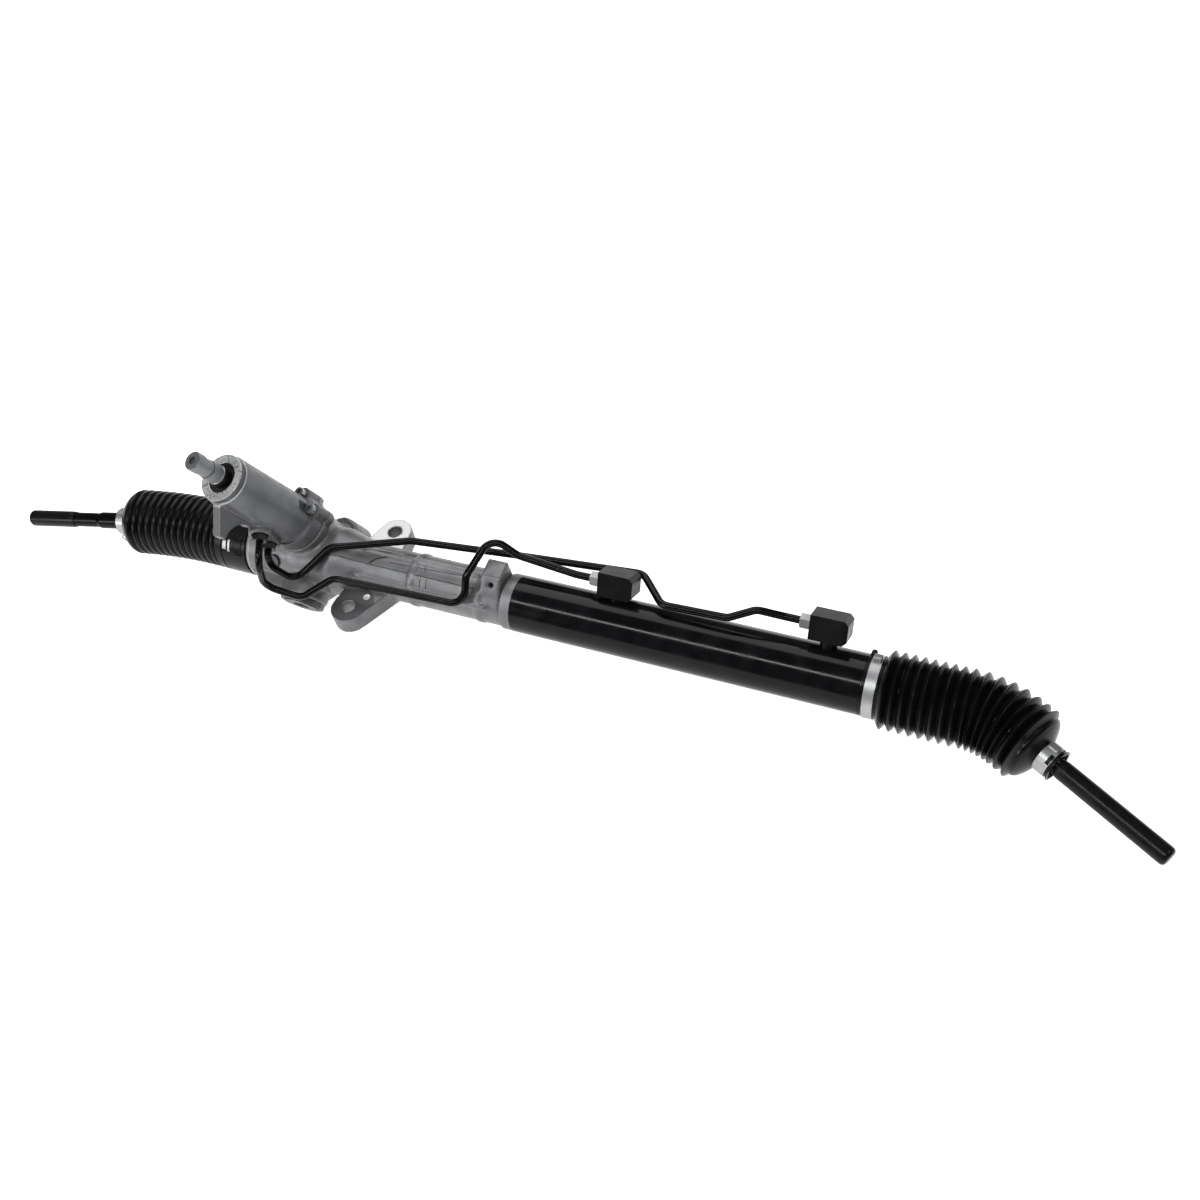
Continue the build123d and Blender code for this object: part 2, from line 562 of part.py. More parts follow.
pins = [Pos(0, 0, lower_pin_at) * Rot(0, 90, 0) * Cylinder(TORSION_PIN_R, 2 * head_r - 1),
        Pos(0, 0, upper_pin_at) * Rot(0, 90, 0) * Cylinder(TORSION_PIN_R, 2 * INPUT_WAIST_R - 0.5)]
save("torsion_bar_pins", group(tower_frame * pin for pin in pins))

ring_places = [SLEEVE_FROM + 12 + i * SLEEVE_RING_PITCH for i in range(SLEEVE_RING_COUNT)]
ring_floor = SLEEVE_R - SLEEVE_RING_DEPTH
grooves = [rod(SLEEVE_R + 1, z, z + SLEEVE_RING_WIDTH) - rod(ring_floor, z, z + SLEEVE_RING_WIDTH)
           for z in ring_places]
valve_sleeve = rod(SLEEVE_R - FIT, SLEEVE_FROM, SLEEVE_TO)
valve_sleeve = valve_sleeve - rod(SLEEVE_BORE_R, SLEEVE_FROM - 1, SLEEVE_TO + 1)
save("valve_sleeve", tower_frame * (valve_sleeve - grooves))
sleeve_rings = [rod(VALVE_BORE_R - FIT, z + FIT, z + SLEEVE_RING_WIDTH - FIT)
                - rod(ring_floor + FIT, z, z + SLEEVE_RING_WIDTH) for z in ring_places]
save("valve_sleeve_rings", group(tower_frame * ring for ring in sleeve_rings))

ball_bearing_low = TOWER_SEAT - BALL_BEARING_WIDTH
ball_bearing = (rod(BALL_BEARING_R, ball_bearing_low, TOWER_SEAT)
                - rod(PINION_JOURNAL_R + FIT, ball_bearing_low - 1, TOWER_SEAT + 1))
race_gap = rod(14.5, -2, 1.0) - rod(11.5, -2, 1.0)
ball_bearing = ball_bearing - [Pos(0, 0, ball_bearing_low) * race_gap, Pos(0, 0, TOWER_SEAT + 1) * race_gap]
save("pinion_ball_bearing", tower_frame * ball_bearing)
save("pinion_needle_bearing", tower_frame * (
    rod(GEAR_BORE_R - 2 * FIT, NEEDLE_LOW, NEEDLE_TOP)
    - rod(LOWER_JOURNAL_R + FIT, NEEDLE_LOW - 1, NEEDLE_TOP + 1)))
lower_cap = rod(LOWER_CAP_R, LOWER_BOSS_END, LOWER_BOSS_END + LOWER_CAP - FACE_GAP)
lower_cap = lower_cap - Pos(0, 0, LOWER_BOSS_END - 1) * extrude(RegularPolygon(LOWER_CAP_HEX_R, 6), 4)
save("pinion_cap", tower_frame * lower_cap)


# ---- rack bar with its teeth, and the piston --------------------------------------------------------
def rack_gap():
    """Gap between two rack teeth, in the plane of the tower's X and the direction of the pinion."""
    pitch = pi * TOOTH_MODULE
    half_gap = (PINION_TOOTH_THICK + FLANK_BACKLASH) / 2
    slope = tan(radians(PRESSURE_ANGLE))
    top = RACK_R - RACK_PITCH_H + 1
    low_half = half_gap - RACK_DEDENDUM * slope
    top_half = half_gap + top * slope
    outline = make_face(Polyline(
        (-low_half, RACK_PITCH_H - RACK_DEDENDUM), (low_half, RACK_PITCH_H - RACK_DEDENDUM),
        (top_half, RACK_PITCH_H + top), (-top_half, RACK_PITCH_H + top), close=True))
    reach = RACK_R + 3
    gap = Pos(0, 0, -reach) * extrude(outline, 2 * reach)
    step = pitch / cos(radians(TOWER_LEAN))
    count = int(TOOTHED_HALF / step)
    return [Pos(i * step, 0, 0) * rack_frame * gap for i in range(-count, count + 1)]


rack_bar = bar(RACK_R, RACK_LEFT, RACK_RIGHT)
rack_bar = chamfer(rack_bar.edges().filter_by(GeomType.CIRCLE), 1)
tooth_tip = RACK_PITCH_H + RACK_ADDENDUM
flat = Pos(PINION_X, 0, 0) * Rot(TOWER_ROLL, 0, 0) * box_between(
    (-TOOTHED_HALF, tooth_tip, -RACK_R), (TOOTHED_HALF, RACK_R + 1, RACK_R))
rack_bar = rack_bar - flat - rack_gap()
stud_bores = [bar(SOCKET_STUD_R + FIT, RACK_LEFT - 1, RACK_LEFT + SOCKET_STUD + 1),
              bar(SOCKET_STUD_R + FIT, RACK_RIGHT - SOCKET_STUD - 1, RACK_RIGHT + 1)]
clip_places = [PISTON_AT - PISTON_LENGTH / 2 - PISTON_CLIP_LENGTH, PISTON_AT + PISTON_LENGTH / 2]
clip_floor = RACK_R - 1.0
clip_grooves = [bar(RACK_R + 1, x, x + PISTON_CLIP_LENGTH) - bar(clip_floor, x, x + PISTON_CLIP_LENGTH)
                for x in clip_places]
rack_bar = rack_bar - stud_bores - clip_grooves
save("rack_bar", rack_bar)

piston_low = PISTON_AT - PISTON_LENGTH / 2 + FIT
piston_high = PISTON_AT + PISTON_LENGTH / 2 - FIT
piston_r = TUBE_BORE_R - CLEAR
ring_low = PISTON_AT - PISTON_RING_LENGTH / 2
ring_high = PISTON_AT + PISTON_RING_LENGTH / 2
piston = bar(piston_r, piston_low, piston_high) - bar(RACK_R + FIT, piston_low - 1, piston_high + 1)
ring_floor = piston_r - PISTON_RING_DEPTH
piston = piston - (bar(piston_r + 1, ring_low, ring_high) - bar(ring_floor, ring_low, ring_high))
save("piston", piston)
save("piston_ring", bar(TUBE_BORE_R - FIT, ring_low + FIT, ring_high - FIT)
     - bar(ring_floor + FIT, ring_low, ring_high))
clips = [bar(RACK_R + 2.2, x + FIT, x + PISTON_CLIP_LENGTH - FIT)
         - bar(clip_floor + FIT, x, x + PISTON_CLIP_LENGTH) for x in clip_places]
save("piston_clips", group(clips))


# ---- cylinder tube, its bulkheads and the seals -----------------------------------------------------
tube = bar(TUBE_R, TUBE_X, TUBE_END) - bar(TUBE_BORE_R, TUBE_X - 1, TUBE_END + 1)
port_ways = [Pos(x, 0, 0) * block_frame * rod(PORT_WAY_R, TUBE_BORE_R - 4, TUBE_R + 4)
             for x, height in (INNER_PORT, OUTER_PORT)]
tube = tube - port_ways
save("cylinder_tube", tube)

collar = bar(COLLAR_R, COLLAR_X, COLLAR_X + COLLAR_LENGTH) - bar(SPIGOT_R + FIT, COLLAR_X - 1, TUBE_X + 1)
save("tube_collar", chamfer(collar.edges().group_by(Axis.X)[0].sort_by(SortBy.RADIUS)[-1:], 1.2))

bulk_r = TUBE_BORE_R - FIT
inner_end = TUBE_X + INNER_BULKHEAD_LENGTH
spigot_end = COLLAR_X + SPIGOT_LENGTH + FACE_GAP
inner_bulkhead = (bar(bulk_r, TUBE_X, inner_end) - bar(SPIGOT_R + FIT, TUBE_X - 1, spigot_end)
                  - bar(BULKHEAD_BORE_R, TUBE_X - 1, inner_end + 1)
                  - bar(ROD_SEAL_R, inner_end - ROD_SEAL_LENGTH - 1, inner_end + 1))
save("inner_bulkhead", inner_bulkhead)


def rod_seal(start):
    """Lip seal on the rack, open towards the pressure side."""
    return (bar(ROD_SEAL_R - FIT, start, start + ROD_SEAL_LENGTH)
            - bar(RACK_R + FIT, start - 1, start + ROD_SEAL_LENGTH + 1))


inner_seal_at = inner_end - ROD_SEAL_LENGTH - RETAINER_WIDTH
outer_start = TUBE_END - OUTER_BULKHEAD_LENGTH
save("inner_rack_seal", rod_seal(inner_seal_at))
save("outer_rack_seal", rod_seal(outer_start + RETAINER_WIDTH))
retainers = [bar(ROD_SEAL_R - FIT, x, x + RETAINER_WIDTH - FIT)
             - bar(ROD_SEAL_R - RETAINER_DEPTH, x - 1, x + 2)
                 for x in (inner_end - RETAINER_WIDTH, outer_start)]
save("seal_retainers", group(retainers))

skirt_end = TUBE_END + OUTER_SKIRT_LENGTH
outer_bulkhead = (bar(bulk_r, outer_start, skirt_end) - bar(BULKHEAD_BORE_R, outer_start - 1, TUBE_END + 3)
                  - bar(ROD_SEAL_R, outer_start - 1, outer_start + ROD_SEAL_LENGTH + 1)
                  - bar(RACK_R + 3, TUBE_END - RACK_BUSH_LENGTH, TUBE_END + 1)
                  - bar(bulk_r - OUTER_SKIRT_WALL, TUBE_END + 2, skirt_end + 1))
save("outer_bulkhead", outer_bulkhead)
save("rack_bush", bar(RACK_R + 3 - FIT, TUBE_END - RACK_BUSH_LENGTH, TUBE_END + 1)
     - bar(RACK_R + FIT, TUBE_END - 30, TUBE_END + 30))


# ---- port blocks, pipes and their nuts --------------------------------------------------------------
def port_block(x, height):
    """Block brazed on the cylinder, its pipe port facing the pinion end."""
    length = PORT_BLOCK[0]
    body = Pos(0, 0, height) * Box(*PORT_BLOCK)
    body = chamfer(body.edges().filter_by(Axis.Y).sort_by(Axis.X)[-2:], 3.5)
    neck = rod(PORT_BLOCK_NECK_R, TUBE_R - 1.2, height)
    block = body + neck - bar(TUBE_R + FIT, -60, 60)
    port = bar(PORT_BORE_R + FIT, -length / 2 - 1, -length / 2 + BLOCK_PORT_DEPTH)
    passage = bar(PORT_WAY_R, -length / 2, PORT_WAY_R)
    block = block - Pos(0, 0, height) * (port + passage) - rod(PORT_WAY_R, TUBE_R - 3, height)
    return Pos(x, 0, 0) * block_frame * block


save("inner_port_block", port_block(*INNER_PORT))
save("outer_port_block", port_block(*OUTER_PORT))

pipe_nut = extrude(RegularPolygon(PIPE_NUT_FLATS / 2, 6, major_radius=False), PIPE_NUT)
pipe_nut = pipe_nut + rod(PORT_BORE_R, -PIPE_NUT_SPIGOT, 0) - rod(PIPE_R + FIT, -20, 20)


def tower_port(port):
    """Seat of a pipe nut in the tower, +Z pointing out of it."""
    return tower_frame * port_place(port, PORT_BOSS_FACE - PORT_RECESS)


def block_port(x, height):
    """Port of a block on the cylinder, +Z pointing out of it."""
    return Pos(x - PORT_BLOCK[0] / 2, 0, 0) * block_frame * Pos(0, 0, height) * Rot(0, -90, 0)


save("lower_pipe_nuts", group([tower_port(UPPER_PORT) * pipe_nut, block_port(*INNER_PORT) * pipe_nut]))
save("upper_pipe_nuts", group([tower_port(LOWER_PORT) * pipe_nut, block_port(*OUTER_PORT) * pipe_nut]))


def reach(frame, distance):
    """Point on the axis of a port, this far out of it."""
    return (frame * Pos(0, 0, distance)).position


def pipe(points):
    """Steel pipe through the points, every corner bent on the same former."""
    points = [Vector(*p) for p in points]
    edges = []
    last = points[0]
    for before, corner, after in zip(points, points[1:], points[2:]):
        back = (before - corner).normalized()
        ahead = (after - corner).normalized()
        half = back.get_angle(ahead) / 2
        tangent = PIPE_BEND_R / tan(radians(half))
        middle = (back + ahead).normalized()
        start = corner + back * tangent
        end = corner + ahead * tangent
        top = corner + middle * (PIPE_BEND_R / sin(radians(half)) - PIPE_BEND_R)
        edges += [Line(last, start), ThreePointArc(start, top, end)]
        last = end
    edges.append(Line(last, points[-1]))
    path = Wire(edges)
    return sweep(Plane(origin=points[0], z_dir=edges[0] % 0) * Circle(PIPE_R), path=path)


out_upper = tower_port(UPPER_PORT)
out_lower = tower_port(LOWER_PORT)
in_inner = block_port(*INNER_PORT)
in_outer = block_port(*OUTER_PORT)
seated = -PIPE_NUT_SPIGOT - 1
save("lower_pipe", pipe([reach(out_upper, seated), reach(out_upper, 30)] + LOWER_ROUTE
                        + [reach(in_inner, 24), reach(in_inner, seated)]))
past_inner = [(INNER_PORT[0] + x, y, z) for x, y, z in UPPER_ROUTE_PAST]
before_outer = [(OUTER_PORT[0] + x, y, z) for x, y, z in UPPER_ROUTE_BEFORE]
save("upper_pipe", pipe([reach(out_lower, seated), reach(out_lower, 22)] + UPPER_ROUTE + past_inner
                        + before_outer + [reach(in_outer, 22), reach(in_outer, seated)]))


# ---- rack yoke, spring loaded against the back of the rack -------------------------------------------
saddle_r = RACK_R + FIT + YOKE_LINER
yoke = yoke_frame * rod(YOKE_R, 3, YOKE_BACK) - bar(saddle_r + FIT, PINION_X - 40, PINION_X + 40)
yoke = yoke - yoke_frame * rod(SPRING_R + CLEAR, YOKE_BACK - SPRING_POCKET, YOKE_BACK + 1)
yoke = yoke - yoke_frame * (rod(YOKE_R + 1, 22, 24.4) - rod(YOKE_R - 1.6, 22, 24.4))
save("rack_yoke", yoke)
save("yoke_seal_ring", yoke_frame * (rod(YOKE_R, 22.1, 24.3) - rod(YOKE_R - 1.5, 22, 25)))

liner_half = YOKE_LINER_WIDTH / 2
liner = bar(saddle_r, PINION_X - liner_half, PINION_X + liner_half)
liner = liner - bar(RACK_R + FIT, PINION_X - 40, PINION_X + 40)
liner_reach = saddle_r * cos(radians(YOKE_LINER_SPAN))
save("yoke_liner", liner & yoke_frame * box_between((-40, -20, liner_reach), (40, 20, 20)))

spring_from = YOKE_BACK - SPRING_POCKET
spring_to = YOKE_PLUG_FROM + 2


def disc_spring(low, upward):
    """Conical disc, its wide rim down when upward is true."""
    rim, bore = (low, low + SPRING_RISE) if upward else (low + SPRING_RISE, low)
    outline = Polyline((SPRING_R, rim), (SPRING_R, rim + SPRING_THICK),
                       (SPRING_BORE_R, bore + SPRING_THICK), (SPRING_BORE_R, bore), close=True)
    return revolve(Plane.XZ * make_face(outline), Axis.Z)


disc_pitch = (spring_to - spring_from) / SPRING_DISC_COUNT
discs = [disc_spring(spring_from + i * disc_pitch + FIT, i % 2 == 0) for i in range(SPRING_DISC_COUNT)]
save("yoke_spring", group(yoke_frame * disc for disc in discs))

plug = rod(YOKE_PLUG_R, YOKE_PLUG_FROM, YOKE_PLUG_END)
plug = plug - rod(SPRING_R + CLEAR, YOKE_PLUG_FROM - 1, spring_to)
plug = plug - Pos(0, 0, YOKE_PLUG_END - 4) * extrude(RegularPolygon(8, 6), 10)
save("yoke_plug", yoke_frame * plug)
lock_nut = Pos(0, 0, YOKE_BOSS_END) * extrude(RegularPolygon(YOKE_NUT_R, 12), YOKE_NUT)
save("yoke_lock_nut", yoke_frame * (lock_nut - rod(YOKE_PLUG_R + FIT, 0, 60)))


# ---- inner ball joints and tie rods, drawn with +X out of the rack and the ball at the origin ---------
socket_cavity = SEAT_R + CLEAR
mouth_slope = tan(radians(JOINT_LIMIT))
neck_reach = NECK_R / cos(radians(JOINT_LIMIT)) + 0.4
mouth_low = SOCKET_MOUTH * mouth_slope + neck_reach
mouth_high = SOCKET_END * mouth_slope + neck_reach


def ball_socket():
    """Housing of the inner ball joint, screwed into the end of the rack."""
    body = bar(SOCKET_R, -SOCKET_BACK, SOCKET_END)
    body = chamfer(body.edges().filter_by(GeomType.CIRCLE), 1.5)
    body = body + bar(SOCKET_STUD_R, -SOCKET_BACK - STOP_WASHER - SOCKET_STUD, -SOCKET_BACK + 1)
    cavity = Sphere(socket_cavity) & box_between((-30, -30, -30), (SOCKET_MOUTH, 30, 30))
    mouth = spun((SOCKET_MOUTH - 1, 0), (SOCKET_MOUTH - 1, mouth_low), (SOCKET_MOUTH, mouth_low),
                 (SOCKET_END + 1, mouth_high + mouth_slope), (SOCKET_END + 1, 0))
    flats = [Rot(turn, 0, 0) * box_between((-SOCKET_BACK - 1, SOCKET_FLAT, -30), (-SOCKET_BACK + 8, 25, 30))
             for turn in (0, 180)]
    return body - [cavity, mouth] - flats


def ball_seat():
    """Cup behind the ball."""
    shell = Sphere(SEAT_R) - Sphere(BALL_R + CLEAR)
    return shell & box_between((-30, -30, -30), (-SEAT_R * sin(radians(10)), 30, 30))


def tie_rod(waist_from, waist_to, end):
    """Ball, neck and shank; the end is threaded and stays under its sleeve."""
    shank = spun((8, 0), (8, NECK_R), (26, NECK_R), (31, ROD_R), (waist_from - 4, ROD_R),
                 (waist_from, ROD_WAIST_R), (waist_to, ROD_WAIST_R), (waist_to, ROD_WAIST_R - 0.3),
                 (end - 1, ROD_WAIST_R - 0.3), (end, ROD_WAIST_R - 1.3), (end, 0))
    return Sphere(BALL_R) + shank


def thread_sleeve(start, end):
    """Soft cap over the threaded end of a tie rod."""
    radius = ROD_R - 0.1
    sleeve = spun((start, 0), (start, ROD_WAIST_R + 0.5), (start + 4, radius), (end, radius), (end, 0))
    sleeve = fillet(sleeve.edges().group_by(Axis.X)[-1], 3.5)
    return sleeve - bar(ROD_WAIST_R + FIT, start - 1, end - 3)


class Centreline:
    """Middle line of a boot: straight, one bend round the ball, then straight along the tie rod."""

    def __init__(self, angle, tangent):
        self.angle = radians(angle)
        self.tangent = tangent
        self.radius = tangent / tan(self.angle / 2)
        self.half_arc = self.radius * self.angle / 2

    def section(self, distance):
        """Plane square to the line; distances outside the bend are measured from the ball."""
        if distance <= -self.tangent:
            x, y, turn = distance, 0, 0
        elif distance >= self.tangent:
            x, y, turn = distance * cos(self.angle), distance * sin(self.angle), self.angle
        else:
            turn = self.angle * (distance + self.tangent) / (2 * self.tangent)
            x = self.radius * sin(turn) - self.tangent
            y = self.radius * (1 - cos(turn))
        return Plane(origin=(x, y, 0), x_dir=(0, 0, 1), z_dir=(cos(turn), sin(turn), 0))


def boot_body(line, outline):
    """Ruled body through circles on the centreline; outline is a list of (distance, radius)."""
    return loft([line.section(distance) * Circle(radius) for distance, radius in outline], ruled=True)


def bellows(first, last, count, crest, valley):
    """Crests and valleys of a boot, evenly spaced."""
    pitch = (last - first) / (count - 1)
    points = []
    for i in range(count):
        points.append((first + i * pitch, crest))
        if i < count - 1:
            points.append((first + (i + 0.5) * pitch, valley))
    return points


def spaced(first, last, count):
    """Evenly spaced distances from first to last."""
    return [first + (last - first) * i / (count - 1) for i in range(count)]


def clamp_ring(radius, start, end, lug_angle, lug_height):
    """Crimped band with its closing lug; radius is the band's bore."""
    band = bar(radius + CLAMP_BAND, start, end)
    lug_half = (end - start) * 0.36
    middle = (start + end) / 2
    lug = Rot(lug_angle, 0, 0) * box_between((middle - lug_half, -3.2, radius - 1),
                                             (middle + lug_half, 3.2, radius + lug_height))
    lug = fillet(lug.edges().filter_by(Axis.X), 0.8)
    return (band + lug) - bar(radius, start - 5, end + 5)


right_cuff_end = RIGHT_BALL_X - TUBE_END - FACE_GAP   # distances back from the ball
right_cuff_lip = RIGHT_BALL_X - skirt_end
left_cuff_end = BARREL_LEFT - LEFT_BALL_X - FACE_GAP
right_pleats_from = RIGHT_CUFF - right_cuff_end
left_pleats_from = LEFT_CUFF - left_cuff_end
left_bend = min(-left_pleats_from, LEFT_NECK_FROM) - BEND_MARGIN
right_line = Centreline(RIGHT_SWING, RIGHT_BEND)
left_line = Centreline(LEFT_SWING, left_bend)
right_cuff_r = TUBE_BORE_R + CUFF_WALL - FIT
left_cuff_r = BOOT_SPIGOT_R + CUFF_WALL + 0.5
left_clamp_r = left_cuff_r - CUFF_STEP
neck_bore = ROD_R + CLEAR
neck_out = neck_bore + NECK_WALL

right_outer = boot_body(right_line, [
    (-right_cuff_end, right_cuff_r), (-right_cuff_lip, right_cuff_r),
    (2 - right_cuff_lip, right_cuff_r + CUFF_STEP),
    *bellows(right_pleats_from, RIGHT_PLEATS_TO, RIGHT_PLEAT_COUNT, RIGHT_CREST, RIGHT_VALLEY),
    *[(RIGHT_PLEATS_TO + distance, radius) for distance, radius in RIGHT_TAIL],
    (RIGHT_NECK_FROM - 0.5, neck_out), (RIGHT_NECK_TO, neck_out)])
right_wall_r = RIGHT_VALLEY - BOOT_WALL
right_inner = boot_body(right_line, [
    (-right_cuff_end - 5, TUBE_BORE_R), (-right_cuff_lip, TUBE_BORE_R), (3 - right_cuff_lip, right_wall_r),
    *[(distance, right_wall_r) for distance in spaced(-RIGHT_BEND, RIGHT_BEND, 4)],
    (RIGHT_PLEATS_TO + 6, right_wall_r - 2), (RIGHT_NECK_FROM, neck_bore), (RIGHT_NECK_TO + 5, neck_bore)])
save("right_boot", right_end.location * (right_outer - right_inner))

left_outer = boot_body(left_line, [
    (-left_cuff_end, left_cuff_r), (LEFT_CLAMP_SEAT - left_cuff_end, left_cuff_r),
    (LEFT_CLAMP_SEAT + 1 - left_cuff_end, left_clamp_r), (BOOT_SPIGOT_LENGTH - left_cuff_end, left_clamp_r),
    *bellows(left_pleats_from, LEFT_PLEATS_TO, LEFT_PLEAT_COUNT, LEFT_CREST, LEFT_VALLEY),
    *[(LEFT_PLEATS_TO + distance, radius) for distance, radius in LEFT_TAIL],
    (LEFT_NECK_FROM - 0.5, neck_out), (LEFT_NECK_TO, neck_out)])
left_spigot_r = BOOT_SPIGOT_R + FIT
left_wall_r = LEFT_VALLEY - BOOT_WALL
left_inner = boot_body(left_line, [
    (-left_cuff_end - 5, left_spigot_r), (BOOT_SPIGOT_LENGTH - left_cuff_end, left_spigot_r),
    *[(distance, left_wall_r) for distance in spaced(left_pleats_from + 11, LEFT_PLEATS_TO - 1, 6)],
    (LEFT_PLEATS_TO + 7, 20), (LEFT_NECK_FROM, neck_bore), (LEFT_NECK_TO + 5, neck_bore)])
save("left_boot", left_end.location * (left_outer - left_inner))

right_clamp_at = RIGHT_CLAMP_SEAT - right_cuff_end
left_clamp_at = LEFT_CLAMP_SEAT + 1.5 - left_cuff_end
right_boot_clamp = clamp_ring(right_cuff_r + FIT, right_clamp_at, right_clamp_at + RIGHT_CLAMP, 150, 4.5)
left_boot_clamp = clamp_ring(left_clamp_r + FIT, left_clamp_at, left_clamp_at + LEFT_CLAMP, 210, 4)
save("right_boot_clamp", right_end.location * right_boot_clamp)
save("left_boot_clamp", left_end.location * left_boot_clamp)

ENDS = (
    ("right", right_end.location, RIGHT_SWING, RIGHT_ROD, RIGHT_SLEEVE, RIGHT_NECK_FROM),
    ("left", left_end.location, LEFT_SWING, LEFT_ROD, LEFT_SLEEVE, LEFT_NECK_FROM))
for side, frame, angle, rod_sizes, sleeve_sizes, neck_from in ENDS:
    swung = frame * Rot(0, 0, angle)
    save(side + "_ball_socket", frame * ball_socket())
    washer = bar(STOP_WASHER_R, -BALL_FROM_RACK, -SOCKET_BACK)
    save(side + "_stop_washer", frame * (washer - bar(SOCKET_STUD_R + FIT, -BALL_FROM_RACK - 1, 0)))
    save(side + "_ball_seat", swung * ball_seat())
    save(side + "_tie_rod", swung * tie_rod(*rod_sizes))
    save(side + "_thread_sleeve", swung * thread_sleeve(*sleeve_sizes))
    neck_clamp = clamp_ring(neck_out + CLEAR, neck_from, neck_from + NECK_CLAMP, 160, 3.5)
    save(side + "_tie_rod_clamp", swung * neck_clamp)
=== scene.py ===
# %% [markdown]
# # A power steering rack, dressed for a product picture
# The solids come from the CAD model and already have the right size and place.
# This lesson gives them cast, painted, plated and rubber finishes, and remakes the soft
# parts as surfaces worked out with numpy. Lengths are in metres.

import json

import bmesh
import bpy
import numpy as np
from mathutils import Matrix, Vector


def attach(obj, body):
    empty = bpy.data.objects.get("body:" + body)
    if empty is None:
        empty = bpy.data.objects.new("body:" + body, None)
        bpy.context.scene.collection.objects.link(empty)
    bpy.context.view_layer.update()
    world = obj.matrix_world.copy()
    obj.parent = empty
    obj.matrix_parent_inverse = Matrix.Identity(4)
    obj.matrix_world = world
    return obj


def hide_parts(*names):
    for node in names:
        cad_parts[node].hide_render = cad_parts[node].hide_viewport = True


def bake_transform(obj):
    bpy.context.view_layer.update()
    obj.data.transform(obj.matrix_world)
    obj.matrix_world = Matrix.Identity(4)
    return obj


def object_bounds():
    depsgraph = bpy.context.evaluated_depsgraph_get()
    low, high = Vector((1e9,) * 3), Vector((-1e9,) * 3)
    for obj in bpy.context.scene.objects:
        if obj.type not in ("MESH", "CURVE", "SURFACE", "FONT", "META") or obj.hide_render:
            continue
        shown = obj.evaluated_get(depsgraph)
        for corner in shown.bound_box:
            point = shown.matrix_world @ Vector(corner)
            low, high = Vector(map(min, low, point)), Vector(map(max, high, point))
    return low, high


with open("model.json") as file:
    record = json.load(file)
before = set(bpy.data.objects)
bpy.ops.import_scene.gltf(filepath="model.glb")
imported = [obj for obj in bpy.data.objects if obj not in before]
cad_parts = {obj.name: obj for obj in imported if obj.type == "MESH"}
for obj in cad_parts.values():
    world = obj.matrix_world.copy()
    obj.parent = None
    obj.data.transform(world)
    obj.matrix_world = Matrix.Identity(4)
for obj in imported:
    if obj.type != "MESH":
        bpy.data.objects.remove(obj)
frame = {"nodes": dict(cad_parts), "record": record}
nodes = frame["nodes"]
cad_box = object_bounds()
print("CAD box", [round(v, 4) for corner in cad_box for v in corner])

# %% [markdown]
# ## Camera
# A product shot looks down on the long part from its front right. The place and the three
# axes of the camera are written out, so the picture can be repeated exactly. A 40.5 mm lens
# on a 36 mm sensor gives only a little perspective.

# %% Camera
camera_place = np.array((0.6115, -0.6068, 0.8866))
camera_back = np.array((0.3420, -0.5437, 0.7664))
camera_up = np.array((-0.2103, 0.7507, 0.6264))

camera_back /= np.linalg.norm(camera_back)
camera_right = np.cross(camera_up, camera_back)
camera_right /= np.linalg.norm(camera_right)
camera_up = np.cross(camera_back, camera_right)
camera_axes = np.column_stack((camera_right, camera_up, camera_back, camera_place))

lens = bpy.data.cameras.new("product_camera")
lens.lens = 40.5
lens.sensor_width = 36.0
lens.clip_start = 0.05
lens.clip_end = 20.0
camera = bpy.data.objects.new("product_camera", lens)
bpy.context.scene.collection.objects.link(camera)
camera.matrix_world = Matrix([*camera_axes.tolist(), (0, 0, 0, 1)])
bpy.context.scene.camera = camera
print("camera at", camera_place)

# %% [markdown]
# ## Floor and light
# The part lies on a light table: a white sheet that glows a little, so it stays even and the
# shadows on it stay faint. The room is dim. A glossy tube mirrors the room, so a dim room
# keeps it black, and each lamp beside it shows as one streak along its length. Only the rays
# that come straight from the camera see a pale wall in its place.

# %% Light table and dim room
floor_height = cad_box[0].z - 0.0005
half = 6.0
floor_mesh = bpy.data.meshes.new("floor")
corners = [(-half, -half, floor_height), (half, -half, floor_height),
           (half, half, floor_height), (-half, half, floor_height)]
floor_mesh.from_pydata(corners, [], [(0, 1, 2, 3)])
floor = bpy.data.objects.new("floor", floor_mesh)
bpy.context.scene.collection.objects.link(floor)

table_sheet = bpy.data.materials.new("table_sheet")
table_sheet.use_nodes = True
sheet = table_sheet.node_tree.nodes["Principled BSDF"]
sheet.inputs["Base Color"].default_value = (0.85, 0.85, 0.85, 1)
sheet.inputs["Roughness"].default_value = 0.9
sheet.inputs["Specular IOR Level"].default_value = 0.0
sheet.inputs["Emission Color"].default_value = (1.0, 1.0, 1.0, 1)
sheet.inputs["Emission Strength"].default_value = 0.82
floor_mesh.materials.append(table_sheet)

world = bpy.data.worlds.new("studio")
world.use_nodes = True
sky = world.node_tree
room = sky.nodes["Background"]
wall = sky.nodes.new("ShaderNodeBackground")
for part, strength in ((room, 0.16), (wall, 0.85)):
    part.inputs["Color"].default_value = (0.97, 0.985, 1.0, 1)
    part.inputs["Strength"].default_value = strength
ray = sky.nodes.new("ShaderNodeLightPath")
either = sky.nodes.new("ShaderNodeMixShader")
sky.links.new(ray.outputs["Is Camera Ray"], either.inputs[0])
sky.links.new(room.outputs[0], either.inputs[1])
sky.links.new(wall.outputs[0], either.inputs[2])
sky.links.new(either.outputs[0], sky.nodes["World Output"].inputs["Surface"])
bpy.context.scene.world = world
bpy.context.scene.view_settings.view_transform = "Standard"
bpy.context.scene.view_settings.look = "None"
print("light table at", round(floor_height, 4))


